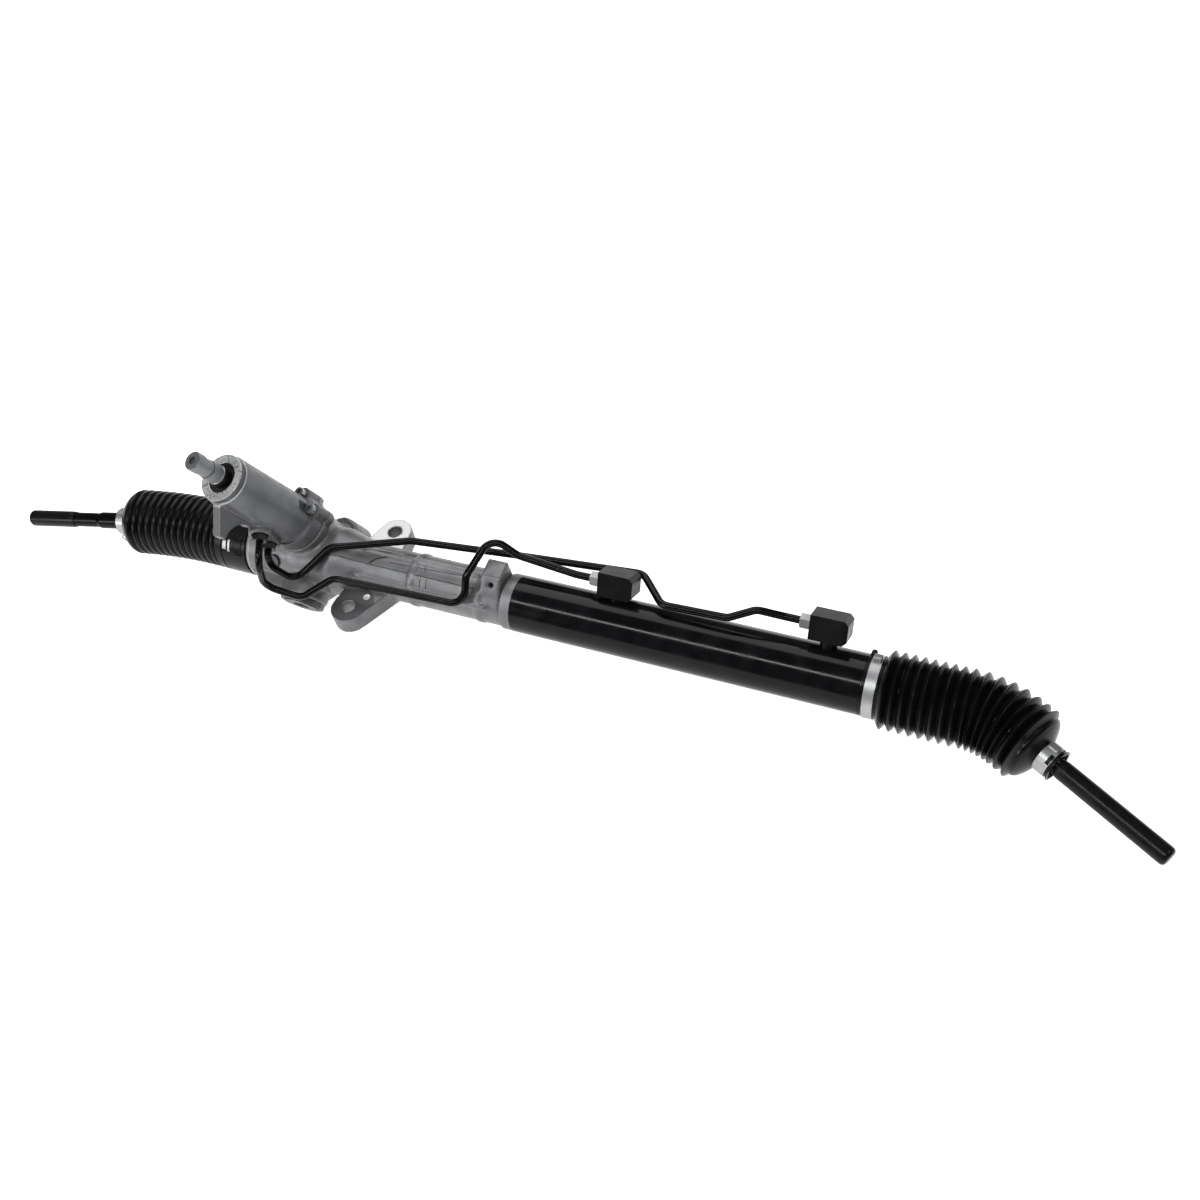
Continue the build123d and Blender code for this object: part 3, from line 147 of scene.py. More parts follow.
# %% Soft boxes
def soft_box(name, place, target, size, power):
    """Rectangular area lamp at place, turned to face target, its length along the part."""
    data = bpy.data.lights.new(name, "AREA")
    data.shape = "RECTANGLE"
    data.size, data.size_y = size
    data.energy = power
    lamp = bpy.data.objects.new(name, data)
    bpy.context.scene.collection.objects.link(lamp)
    away = (Vector(place) - Vector(target)).normalized()
    along = (Vector((1, 0, 0)) - away * away.x).normalized()
    turned = Matrix((along, away.cross(along), away)).transposed().to_4x4()
    turned.translation = place
    lamp.matrix_world = turned
    return lamp


soft_box("overhead_strip", (0.0, -0.72, 1.12), (0.25, 0, 0), (1.5, 0.10), 13)
soft_box("rear_key", (-0.45, 0.85, 1.25), (-0.05, 0, 0), (1.5, 1.1), 21)
soft_box("left_front", (-0.75, -1.1, 0.5), (0.0, 0, 0), (0.5, 0.35), 7)
soft_box("right_fill", (1.4, 0.2, 1.3), (0.45, 0, 0), (0.6, 0.6), 6)
print("four soft boxes")

# %% [markdown]
# ## Finishes
# Every finish is a small node graph on Object coordinates. All pieces sit at the origin
# with their place in their mesh, so one noise runs through the whole object and never
# stretches. A helper adds the nodes and joins them up.

# %% Node helpers
def add_node(tree, kind, **values):
    """Adds a shader node; values name its attributes or, with _ for a space, its inputs."""
    node = tree.nodes.new(kind)
    for key, value in values.items():
        if hasattr(node, key):
            setattr(node, key, value)
        else:
            node.inputs[key.replace("_", " ")].default_value = value
    return node


def new_finish(name, colour, roughness, metallic=0.0):
    """A material with a Principled shader, and the Object coordinates that its patterns read."""
    material = bpy.data.materials.new(name)
    material.use_nodes = True
    tree = material.node_tree
    shader = tree.nodes["Principled BSDF"]
    shader.inputs["Base Color"].default_value = (*colour, 1)
    shader.inputs["Roughness"].default_value = roughness
    shader.inputs["Metallic"].default_value = metallic
    place = add_node(tree, "ShaderNodeTexCoord")
    return material, tree, shader, place.outputs["Object"]


def noise(tree, where, scale, detail=4.0, stretch=None):
    """Fractal noise; stretch is a scale for each axis, so the grain can run one way."""
    if stretch is not None:
        mapping = add_node(tree, "ShaderNodeMapping", Scale=stretch)
        tree.links.new(where, mapping.inputs["Vector"])
        where = mapping.outputs["Vector"]
    node = add_node(tree, "ShaderNodeTexNoise", Scale=scale, Detail=detail)
    tree.links.new(where, node.inputs["Vector"])
    return node.outputs["Fac"]


def ramp(tree, value, stops):
    """Maps a number to a colour through (position, colour) stops."""
    node = add_node(tree, "ShaderNodeValToRGB")
    elements = node.color_ramp.elements
    while len(elements) < len(stops):
        elements.new(0.5)
    for element, (position, colour) in zip(elements, stops):
        element.position = position
        element.color = (*colour, 1)
    tree.links.new(value, node.inputs["Fac"])
    return node.outputs["Color"]


def number_range(tree, value, low, high):
    """Stretches a noise value of about 0.3 to 0.7 over the range low to high."""
    node = add_node(tree, "ShaderNodeMapRange", From_Min=0.3, From_Max=0.7, To_Min=low, To_Max=high)
    tree.links.new(value, node.inputs["Value"])
    return node.outputs["Result"]


def bump(tree, shader, height, depth, before=None):
    """Turns height into relief of the given depth; before is an earlier bump to add to."""
    node = add_node(tree, "ShaderNodeBump", Strength=1.0, Distance=depth)
    tree.links.new(height, node.inputs["Height"])
    if before is not None:
        tree.links.new(before.outputs["Normal"], node.inputs["Normal"])
    tree.links.new(node.outputs["Normal"], shader.inputs["Normal"])
    return node


# %% Places inside a finish
def vector_step(tree, operation, first, second):
    """One vector node; either input may be a socket or a fixed vector, and both outputs come back."""
    node = add_node(tree, "ShaderNodeVectorMath", operation=operation)
    for socket, value in zip(node.inputs, (first, second)):
        if isinstance(value, bpy.types.NodeSocket):
            tree.links.new(value, socket)
        else:
            socket.default_value = value
    return node.outputs[0], node.outputs[1]


def around(tree, where, centre, axis):
    """Height along an axis through centre, and the distance from that axis."""
    offset = vector_step(tree, "SUBTRACT", where, centre)[0]
    height = vector_step(tree, "DOT_PRODUCT", offset, axis)[1]
    on_axis = vector_step(tree, "PROJECT", offset, axis)[0]
    aside = vector_step(tree, "SUBTRACT", offset, on_axis)[0]
    length = vector_step(tree, "LENGTH", aside, (0, 0, 0))[1]
    return height, length


def between(tree, value, low, high, edge=0.0003):
    """1 where value lies from low to high, with soft edges; the smaller of two ramps."""
    rise = add_node(tree, "ShaderNodeMapRange", From_Min=low - edge, From_Max=low + edge)
    fall = add_node(tree, "ShaderNodeMapRange", From_Min=high + edge, From_Max=high - edge)
    least = add_node(tree, "ShaderNodeMath", operation="MINIMUM")
    for number, side in enumerate((rise, fall)):
        tree.links.new(value, side.inputs["Value"])
        tree.links.new(side.outputs["Result"], least.inputs[number])
    return least.outputs["Value"]


def both(tree, first, second):
    """Product of two masks."""
    node = add_node(tree, "ShaderNodeMath", operation="MULTIPLY")
    tree.links.new(first, node.inputs[0])
    tree.links.new(second, node.inputs[1])
    return node.outputs["Value"]


def repaint(tree, shader, mask, colour, roughness):
    """Gives the finish another colour and roughness where mask is 1."""
    kinds = (("Base Color", "RGBA", 6, 7, 2, (*colour, 1)), ("Roughness", "FLOAT", 2, 3, 0, roughness))
    for name, data_type, first, second, out, value in kinds:
        socket = shader.inputs[name]
        mix = add_node(tree, "ShaderNodeMix", data_type=data_type)
        tree.links.new(mask, mix.inputs["Factor"])
        if socket.links:
            tree.links.new(socket.links[0].from_socket, mix.inputs[first])
        else:
            mix.inputs[first].default_value = socket.default_value
        mix.inputs[second].default_value = value
        tree.links.new(mix.outputs[out], socket)


# %% [markdown]
# ### Cast aluminium
# Sand and pressure castings have a fine skin, broad cloudy tones, small pits, and darker
# dirt in the low places. Two noises give the tones, a third the skin, and a Voronoi field
# thresholded near its cell centres gives the pits.

# %% Cast aluminium
def cast_metal(name, dark, light, roughness, pit_depth):
    """Cast skin: cloudy tones, a fine grain and small pits."""
    material, tree, shader, where = new_finish(name, light, roughness, 0.45)
    shader.inputs["Specular IOR Level"].default_value = 0.4
    clouds = noise(tree, where, 30.0, 8.0)
    colour = ramp(tree, clouds, [(0.34, dark), (0.68, light)])
    tree.links.new(colour, shader.inputs["Base Color"])
    tree.links.new(number_range(tree, noise(tree, where, 160.0), roughness - 0.08, roughness + 0.08),
                   shader.inputs["Roughness"])
    cells = add_node(tree, "ShaderNodeTexVoronoi", Scale=480.0)
    tree.links.new(where, cells.inputs["Vector"])
    pits = add_node(tree, "ShaderNodeMapRange", From_Min=0.05, From_Max=0.25, To_Min=0.0, To_Max=1.0)
    tree.links.new(cells.outputs["Distance"], pits.inputs["Value"])
    skin = bump(tree, shader, noise(tree, where, 700.0, 3.0), 0.00016)
    bump(tree, shader, pits.outputs["Result"], pit_depth, skin)
    return material


cast_housing = cast_metal("cast_housing", (0.085, 0.086, 0.089), (0.145, 0.147, 0.15), 0.42, 0.00005)
cast_tower = cast_metal("cast_tower", (0.066, 0.068, 0.071), (0.1, 0.102, 0.106), 0.46, 0.00006)

# %% [markdown]
# A few faces of the castings are cut by a mill or a lathe: the tops of the two ears, the shoulder behind
# the left boot and the rim of the tower. Most are lighter than the skin. The two ear tops face the same
# way but are painted as lit and shaded copies: the rear one bright, its machined tone with a painted
# highlight, and the front one darker than the skin, as painted shade. The side of the tower's rim is
# painted near black as painted shade. They are found by their height along an axis and their distance from
# it.

# %% Machined faces
CUT = (0.2, 0.203, 0.207)
tree = cast_housing.node_tree
skin = tree.nodes["Principled BSDF"]
where = tree.nodes["Texture Coordinate"].outputs["Object"]
# The rear ear's top is painted bright, its machined tone with a painted highlight; the front ear's top,
# cut the same way, is painted darker than the skin as painted shade.
for side, shade in ((0.0455, (0.42, 0.425, 0.43)), (-0.0455, (0.05, 0.051, 0.053))):
    height, away = around(tree, where, (0, side, 0), (0, 0, 1))
    face = both(tree, between(tree, height, -0.0007, 0.002), between(tree, away, -1.0, 0.024))
    repaint(tree, skin, face, shade, 0.45)
for place, wall, shade in (((0.0118, -0.0315, 0), 0.0031, (0.85, 0.85, 0.85)),
                           ((0, -0.0455, 0), 0.0069, (0.2, 0.203, 0.206))):
    away = around(tree, where, place, (0, 0, 1))[1]
    repaint(tree, skin, between(tree, away, -1.0, wall), shade, 0.4)
height, away = around(tree, where, (0, 0, 0), (1, 0, 0))
shoulder = both(tree, between(tree, height, -0.117, -0.1115), between(tree, away, 0.026, 0.033))
repaint(tree, skin, shoulder, CUT, 0.4)

TOWER_FOOT = (-0.0562, 0.015672, 0.006588)
TOWER_AXIS = (-0.182236, -0.381029, 0.906426)
tree = cast_tower.node_tree
skin = tree.nodes["Principled BSDF"]
where = tree.nodes["Texture Coordinate"].outputs["Object"]
height, away = around(tree, where, TOWER_FOOT, TOWER_AXIS)
rim = between(tree, height, 0.1412, 0.143)
repaint(tree, skin, rim, (0.36, 0.365, 0.37), 0.36)
# The side of the rim is painted near black as painted shade.
rim_side_shade = both(tree, between(tree, height, 0.1364, 0.1411), between(tree, away, 0.0185, 0.0211))
repaint(tree, skin, rim_side_shade, (0.045, 0.046, 0.048), 0.5)
step_below = both(tree, between(tree, height, 0.1352, 0.1364), between(tree, away, 0.0208, 0.03))
repaint(tree, skin, step_below, (0.26, 0.263, 0.267), 0.4)
cast_flecks = between(tree, noise(tree, where, 420.0, 2.0), 0.6, 1.0, 0.03)
repaint(tree, skin, both(tree, rim, cast_flecks), (0.12, 0.12, 0.12), 0.5)
print("machined faces are lighter")


# %% [markdown]
# ### Steel, plating, paint and rubber
# Turned steel has rings across its axis, so its noise is squeezed along that axis. Zinc plate is brighter
# and smoother. The tube's paint is dark and glossy. Rubber is dark and dull with a grey bloom that gathers
# in patches.

# %% Metals
def turned_steel(name, colour, roughness, grain_axis, variation=0.12):
    """Metal with fine rings round grain_axis, which is 0, 1 or 2 for X, Y or Z."""
    material, tree, shader, where = new_finish(name, colour, roughness, 1.0)
    stretch = [8.0, 8.0, 8.0]
    stretch[grain_axis] = 900.0
    rings = noise(tree, where, 1.0, 5.0, tuple(stretch))
    low = tuple(c * (1 - variation) for c in colour)
    high = tuple(min(1.0, c * (1 + variation)) for c in colour)
    tree.links.new(ramp(tree, rings, [(0.3, low), (0.7, high)]), shader.inputs["Base Color"])
    tree.links.new(number_range(tree, noise(tree, where, 60.0), roughness - 0.06, roughness + 0.1),
                   shader.inputs["Roughness"])
    bump(tree, shader, rings, 0.00006)
    return material


turned_bar = turned_steel("turned_bar", (0.50, 0.51, 0.53), 0.32, 0)
dark_bar = turned_steel("dark_bar", (0.16, 0.165, 0.17), 0.38, 0)
shaft_steel = turned_steel("shaft_steel", (0.15, 0.153, 0.157), 0.5, 2)
zinc_plate = turned_steel("zinc_plate", (0.31, 0.315, 0.32), 0.42, 0, 0.06)
collar_alloy = turned_steel("collar_alloy", (0.15, 0.153, 0.157), 0.5, 0, 0.08)
bolt_steel = turned_steel("bolt_steel", (0.24, 0.245, 0.25), 0.42, 2, 0.06)
yoke_steel = turned_steel("yoke_steel", (0.075, 0.077, 0.08), 0.5, 2, 0.1)
bearing_bronze = turned_steel("bearing_bronze", (0.55, 0.38, 0.18), 0.35, 0)


# %% Paint
def black_paint(name, colour, roughness, shine, peel):
    """Dark paint; shine is its specular level and peel the depth of a faint orange peel."""
    material, tree, shader, where = new_finish(name, colour, roughness)
    shader.inputs["Specular IOR Level"].default_value = shine
    wear = noise(tree, where, 55.0, 6.0)
    lighter = tuple(c * 1.9 + 0.001 for c in colour)
    tree.links.new(ramp(tree, wear, [(0.42, colour), (0.75, lighter)]), shader.inputs["Base Color"])
    dull = number_range(tree, wear, roughness - 0.03, roughness + 0.08)
    tree.links.new(dull, shader.inputs["Roughness"])
    bump(tree, shader, noise(tree, where, 260.0, 2.0), peel)
    return material


tube_paint = black_paint("tube_paint", (0.0025, 0.0025, 0.003), 0.12, 0.11, 0.000003)
pipe_coat = black_paint("pipe_coat", (0.0015, 0.0015, 0.0018), 0.15, 0.1, 0.000002)
block_coat = black_paint("block_coat", (0.0015, 0.0015, 0.0018), 0.3, 0.12, 0.00001)
rod_coat = black_paint("rod_coat", (0.0015, 0.0015, 0.0018), 0.18, 0.08, 0.000004)


# %% Rubber and plastic
def moulded(name, colour, bloom, roughness, grain_depth, shine=0.4):
    """Rubber or soft plastic: bloom is the colour of the greyer patches, shine its specular level."""
    material, tree, shader, where = new_finish(name, colour, roughness)
    shader.inputs["Specular IOR Level"].default_value = shine
    patches = noise(tree, where, 45.0, 8.0)
    tree.links.new(ramp(tree, patches, [(0.4, colour), (0.72, bloom)]), shader.inputs["Base Color"])
    dull = number_range(tree, patches, roughness - 0.05, roughness + 0.12)
    tree.links.new(dull, shader.inputs["Roughness"])
    bump(tree, shader, noise(tree, where, 700.0, 3.0), grain_depth)
    return material


boot_rubber = moulded("boot_rubber", (0.0025, 0.0025, 0.003), (0.005, 0.005, 0.0055), 0.24, 0.00001, 0.1)
seal_rubber = moulded("seal_rubber", (0.006, 0.006, 0.006), (0.012, 0.012, 0.012), 0.45, 0.00004)
dark_sleeve = moulded("dark_sleeve", (0.0035, 0.0035, 0.004), (0.0055, 0.0055, 0.006), 0.24, 0.00002, 0.12)
slide_plastic = moulded("slide_plastic", (0.5, 0.46, 0.36), (0.6, 0.56, 0.45), 0.45, 0.00003)

# %% Metals of two tones
tree = shaft_steel.node_tree
skin = tree.nodes["Principled BSDF"]
where = tree.nodes["Texture Coordinate"].outputs["Object"]
height = around(tree, where, TOWER_FOOT, TOWER_AXIS)[0]
repaint(tree, skin, between(tree, height, -1.0, 0.1478), (0.025, 0.025, 0.026), 0.5)
# A thin bright band at the shoulder's chamfer is a painted highlight.
repaint(tree, skin, between(tree, height, 0.1475, 0.1483, 0.0002), (0.5, 0.5, 0.5), 0.35)

nut_plate = turned_steel("nut_plate", (0.2, 0.203, 0.207), 0.4, 0, 0.06)
tree = nut_plate.node_tree
where = tree.nodes["Texture Coordinate"].outputs["Object"]
along_rack = around(tree, where, (0, 0, 0), (1, 0, 0))[0]
at_tower = between(tree, along_rack, -1.0, 0.0)
repaint(tree, tree.nodes["Principled BSDF"], at_tower, (0.05, 0.05, 0.052), 0.4)
# Near-black paint for the mould lines: painted shadow of the small ribs.
seam_shadow = black_paint("seam_shadow", (0.012, 0.012, 0.0125), 0.5, 0.3, 0.000002)
print("the shaft is dark below its shoulder, the nuts at the tower")

# %% Give each solid its finish
finish_of_slot = {
    "cast_aluminium": cast_housing, "machined_steel": turned_bar, "dark_steel": dark_bar,
    "zinc_steel": zinc_plate, "black_paint": tube_paint, "black_steel": pipe_coat,
    "rubber": seal_rubber, "dark_sleeve": dark_sleeve,
    "plastic": slide_plastic, "bronze": bearing_bronze}
own_finish = {
    "valve_tower": cast_tower, "input_shaft": shaft_steel, "inner_port_block": block_coat,
    "outer_port_block": block_coat, "right_tie_rod": rod_coat, "left_tie_rod": rod_coat,
    "tube_collar": collar_alloy, "pinion_cap": dark_bar, "left_boot_clamp": block_coat,
    "upper_pipe_nuts": nut_plate, "lower_pipe_nuts": nut_plate, "tower_bolts": bolt_steel,
    "torsion_bar_pins": shaft_steel, "yoke_plug": yoke_steel, "yoke_lock_nut": yoke_steel,
    "grease_plug": yoke_steel}
slot_of = {part["node"]: part["material_slot"] for part in frame["record"]["subparts"]}


def finish(piece, material):
    """Makes material the piece's only one."""
    piece.data.materials.clear()
    piece.data.materials.append(material)


for name, node in nodes.items():
    finish(node, own_finish.get(name, finish_of_slot[slot_of[name]]))
print("finished", len(nodes), "solids")

# %% [markdown]
# ## From a grid of points to a piece
# Most new pieces are a closed outline carried round an axis or along a line. That gives a
# grid of points that closes both ways, like a ring doughnut, so every piece is watertight.

# %% Mesh from a closed grid
MM = 0.001


def ring_piece(name, points, material):
    """Closed mesh from a grid of points (rows, columns, 3), in millimetres, that wraps both ways."""
    rows, columns = points.shape[:2]
    index = np.arange(rows * columns).reshape(rows, columns)
    down, right = np.roll(index, -1, 0), np.roll(index, -1, 1)
    corner = np.roll(down, -1, 1)
    faces = np.stack((index, right, corner, down), -1).reshape(-1, 4)
    mesh = bpy.data.meshes.new(name)
    mesh.from_pydata((points.reshape(-1, 3) * MM).tolist(), [], faces.tolist())
    finish_normals(mesh)
    piece = bpy.data.objects.new(name, mesh)
    bpy.context.scene.collection.objects.link(piece)
    finish(piece, material)
    return piece


def finish_normals(mesh, sharp=35.0):
    """Points the faces outwards and shades them smooth, except over sharp edges."""
    work = bmesh.new()
    work.from_mesh(mesh)
    bmesh.ops.recalc_face_normals(work, faces=work.faces)
    work.to_mesh(mesh)
    work.free()
    mesh.shade_smooth()
    mesh.set_sharp_from_angle(angle=np.radians(sharp))


# %% [markdown]
# ## Castings
# A casting has no sharp edges: the sand rounds them all. A copy of the solid is rebuilt on
# a fine grid and relaxed a little, which turns each sharp edge into a small fillet and
# leaves the flat and round faces where they are.

# %% Castings with rounded edges
def casting(name, source, cell, rounds, material):
    """Copy of a solid with rounded edges; cell is the grid size and rounds how often it relaxes."""
    mesh = nodes[source].data.copy()
    work = bmesh.new()
    work.from_mesh(mesh)
    bmesh.ops.remove_doubles(work, verts=work.verts, dist=1e-6)
    work.to_mesh(mesh)
    work.free()
    rough = bpy.data.objects.new(name + "_rough", mesh)
    bpy.context.scene.collection.objects.link(rough)
    skin = rough.modifiers.new("skin", "REMESH")
    skin.mode = "VOXEL"
    skin.voxel_size = cell
    relax = rough.modifiers.new("relax", "SMOOTH")
    relax.factor = 0.5
    relax.iterations = rounds
    depsgraph = bpy.context.evaluated_depsgraph_get()
    relaxed = bpy.data.meshes.new_from_object(rough.evaluated_get(depsgraph))
    bpy.data.objects.remove(rough)
    relaxed.name = name
    relaxed.shade_smooth()
    piece = bpy.data.objects.new(name, relaxed)
    bpy.context.scene.collection.objects.link(piece)
    finish(piece, material)
    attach(piece, "housing")
    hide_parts(source)
    print(name, len(relaxed.polygons), "faces")
    return piece


casting("cast_rack_housing", "rack_housing", 0.00125, 4, cast_housing)
casting("cast_valve_tower", "valve_tower", 0.0008, 3, cast_tower)

# %% [markdown]
# The rim of the tower is a turned ring with crisp edges round the shaft seal. It is an outline
# of (radius, height) carried round the tower's axis.

# %% Rim of the tower
rim_outline = np.array(((14.2, 141.9), (20.7, 141.9), (21.0, 141.6),
                        (21.0, 137.0), (20.4, 136.4), (14.2, 136.4)))
tower_axis = np.array(TOWER_AXIS) / np.linalg.norm(TOWER_AXIS)
across = np.cross(tower_axis, (1.0, 0.0, 0.0))
across /= np.linalg.norm(across)
other = np.cross(tower_axis, across)
turn = np.linspace(0, 2 * np.pi, 180, endpoint=False)
spoke = np.cos(turn)[:, None] * across + np.sin(turn)[:, None] * other
rim_points = (np.array(TOWER_FOOT) / MM + rim_outline[:, 0, None, None] * spoke[None]
              + rim_outline[:, 1, None, None] * tower_axis)
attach(ring_piece("tower_rim", rim_points, cast_tower), "housing")
print("rim of the tower", rim_points.shape[:2], "points")

# %% [markdown]
# ## Bellows boots
# A boot is a rubber tube of pleats. Its middle line runs along the rack, bends once round
# the ball joint and leaves along the tie rod. The pleats are a wave in the radius along
# that line. In use the boot stretches, so it is made in three lengths that meet in valleys:
# one between the housing and the rack, one between the rack and the ball cup, and one
# between the cup and the tie rod.

# %% Middle line of a boot
SWING_DROP = np.radians(10.0)
towards_swing = np.array((0.0, -np.cos(SWING_DROP), -np.sin(SWING_DROP)))


class BootLine:
    """Straight along the rack, an even bend over 2 * tangent, then straight along the tie rod."""

    def __init__(self, ball_x, outward, angle, tangent):
        self.ball = np.array((ball_x, 0.0, 0.0))
        self.outward = np.array((outward, 0.0, 0.0))
        self.angle = np.radians(angle)
        self.tangent = tangent
        self.radius = tangent / np.tan(self.angle / 2)
        self.binormal = np.cross(self.outward, towards_swing)

    def at(self, distance):
        """Centres and directions at distances from the ball, worked out for the whole array."""
        s = np.asarray(distance, float)
        turn = np.clip(self.angle * (s + self.tangent) / (2 * self.tangent), 0, self.angle)
        along = self.radius * np.sin(turn) - self.tangent
        aside = self.radius * (1 - np.cos(turn))
        before, after = np.minimum(s + self.tangent, 0), np.maximum(s - self.tangent, 0)
        along = along + before + after * np.cos(self.angle)
        aside = aside + after * np.sin(self.angle)
        centre = self.ball + along[:, None] * self.outward + aside[:, None] * towards_swing
        direction = np.cos(turn)[:, None] * self.outward + np.sin(turn)[:, None] * towards_swing
        return centre, direction

    def surface(self, distance, radius):
        """Grid of points: ring i has its centre at distance[i] and radius[i], which may vary round it."""
        centre, direction = self.at(distance)
        radius = np.asarray(radius, float)
        if radius.ndim == 1:
            radius = np.repeat(radius[:, None], ROUND, 1)
        aside = np.cross(self.binormal, direction)
        turn = np.linspace(0, 2 * np.pi, radius.shape[1], endpoint=False)
        spoke = (np.cos(turn)[None, :, None] * aside[:, None, :]
                 + np.sin(turn)[None, :, None] * self.binormal[None, None, :])
        return centre[:, None, :] + radius[:, :, None] * spoke


ROUND = 144  # points on a ring
right_line = BootLine(554.0, 1.0, 29.1, 21.0)
left_line = BootLine(-215.0, -1.0, 11.0, 47.5)


# %% Pleats
def pleats(distance, first, last, count, crest, valley, point):
    """Radius of a row of pleats: it falls from crest to valley and back over each pitch.
    point below 1 gives blunt crests and narrow grooves, above 1 sharp crests."""
    pitch = (last - first) / (count - 1)
    phase = np.abs(((distance - first) / pitch + 0.5) % 1.0 - 0.5) * 2
    return valley + (crest - valley) * (1 - phase ** point)


def boot_length(name, line, distance, outer, wall, material):
    """One length of a boot: the outer profile out and the same profile back, one wall inside."""
    loop_s = np.concatenate((distance, distance[::-1]))
    loop_r = np.concatenate((outer, outer[::-1] - wall))
    return ring_piece(name, line.surface(loop_s, loop_r), material)


def even_blend(piece, line, start, end):
    """Bakes the piece's place into its mesh. It works out the centres at start and end on the line, but
    does not use them."""
    points = line.at(np.array((start, end)))[0] * MM
    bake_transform(piece)


RIGHT_RINGS, LEFT_RINGS = 3.2, 3.0  # rings on each millimetre of a boot
print("a boot ring has", ROUND, "points")

# %% Right boot
right_first, right_last, right_count = -83.0, 33.5, 16
right_pitch = (right_last - right_first) / (right_count - 1)


def right_radius(s):
    """Cuff, pleats, then a bulged cone down to the neck."""
    wave = pleats(s, right_first, right_last, right_count, 32.0, 26.6, 1.25)
    cone_s = [-200, -100.7, -88.2, -86.2]
    cone_r = [24.95, 24.95, 24.95, 26.0]
    radius = np.where(s < right_first - right_pitch / 2, np.interp(s, cone_s, cone_r), wave)
    tail_s = [33.5, 34.9, 36.2, 38.0, 40.0, 42.0, 43.8, 45.2, 46.2, 47.2, 58.2, 58.5, 60.0]
    tail_r = [32.0, 29.2, 27.2, 27.4, 25.8, 22.4, 18.4, 14.8, 12.6, 11.8, 11.8, 13.4, 13.4]
    return np.where(s > right_last, np.interp(s, tail_s, tail_r), radius)


def cut_at(first, pitch, number):
    """Distance of the valley after pleat number."""
    return first + (number + 0.5) * pitch


right_cut_1 = cut_at(right_first, right_pitch, 10)
right_cut_2 = cut_at(right_first, right_pitch, 14)
right_lengths = (
    ("right_boot_inner", -100.7, right_cut_1, "housing", "rack", -86.7, right_cut_1),
    ("right_boot_bend", right_cut_1, right_cut_2, "rack", "right_seat", right_cut_1, right_cut_2),
    ("right_boot_neck", right_cut_2, 59.5, "right_seat", "right_tie_rod", right_cut_2, 46.0))
for name, start, end, near, far, blend_from, blend_to in right_lengths:
    s = np.linspace(start, end, int((end - start) * RIGHT_RINGS))
    piece = boot_length(name, right_line, s, right_radius(s), 2.0, boot_rubber)
    even_blend(piece, right_line, blend_from, blend_to)
    if name == "right_boot_inner":
        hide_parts("right_boot")
print("right boot pitch", round(right_pitch, 2), "mm")

# %% Left boot
left_first, left_last, left_count = -61.0, 37.0, 14
left_pitch = (left_last - left_first) / (left_count - 1)


def left_radius(s):
    """Cuff with its clamp seat, fine pleats, a round shoulder and the neck."""
    wave = pleats(s, left_first, left_last, left_count, 30.8, 28.0, 2.2)
    cuff_s = [-200, -73.7, -72.7, -65.5, -63.5]
    cuff_r = [31.0, 31.0, 30.0, 30.0, 29.2]
    radius = np.where(s < left_first - left_pitch / 2, np.interp(s, cuff_s, cuff_r), wave)
    tail_s = [37.0, 39.5, 41.5, 43.5, 45.0, 46.5, 47.5, 48.5, 49.3, 50.5, 62.5]
    tail_r = [30.8, 30.0, 28.6, 27.2, 25.6, 23.4, 21.4, 18.4, 15.2, 11.8, 11.8]
    return np.where(s > left_last, np.interp(s, tail_s, tail_r), radius)


left_cut_1 = cut_at(left_first, left_pitch, 9)
left_cut_2 = cut_at(left_first, left_pitch, 12)
left_lengths = (
    ("left_boot_inner", -98.7, left_cut_1, "housing", "rack", -64.0, left_cut_1),
    ("left_boot_bend", left_cut_1, left_cut_2, "rack", "left_seat", left_cut_1, left_cut_2),
    ("left_boot_neck", left_cut_2, 62.5, "left_seat", "left_tie_rod", left_cut_2, 50.5))
for name, start, end, near, far, blend_from, blend_to in left_lengths:
    s = np.linspace(start, end, int((end - start) * LEFT_RINGS))
    piece = boot_length(name, left_line, s, left_radius(s), 1.5, boot_rubber)
    even_blend(piece, left_line, blend_from, blend_to)
    if name == "left_boot_inner":
        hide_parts("left_boot")
print("left boot pitch", round(left_pitch, 2), "mm")

# %% [markdown]
# ## Clamps and small details
# A clamp's buckle or a moulded rib is a small raised patch on a round surface. Its height falls to nothing
# towards its edges as the root of (1 - u^p)(1 - v^p), where u and v run from -1 to 1 over the patch, and a
# bigger p gives a sharper edge. A second grid under it closes the piece.

# %% Raised patches
def slab(name, top, bottom, material, body):
    """Closed mesh from two grids of the same shape (rows, columns, 3), in millimetres."""
    rows, columns = top.shape[:2]
    index = np.arange(rows * columns).reshape(rows, columns)
    quads = np.stack((index[:-1, :-1], index[:-1, 1:], index[1:, 1:], index[1:, :-1]), -1).reshape(-1, 4)
    under = quads[:, ::-1] + rows * columns
    edge = np.concatenate((index[0, :-1], index[:-1, -1], index[-1, :0:-1], index[:0:-1, 0]))
    after = np.roll(edge, -1)
    sides = np.stack((after, edge, edge + rows * columns, after + rows * columns), -1)
    mesh = bpy.data.meshes.new(name)
    points = np.concatenate((top.reshape(-1, 3), bottom.reshape(-1, 3))) * MM
    mesh.from_pydata(points.tolist(), [], np.concatenate((quads, under, sides)).tolist())
    finish_normals(mesh)
    piece = bpy.data.objects.new(name, mesh)
    bpy.context.scene.collection.objects.link(piece)
    finish(piece, material)
    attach(piece, body)
    return piece


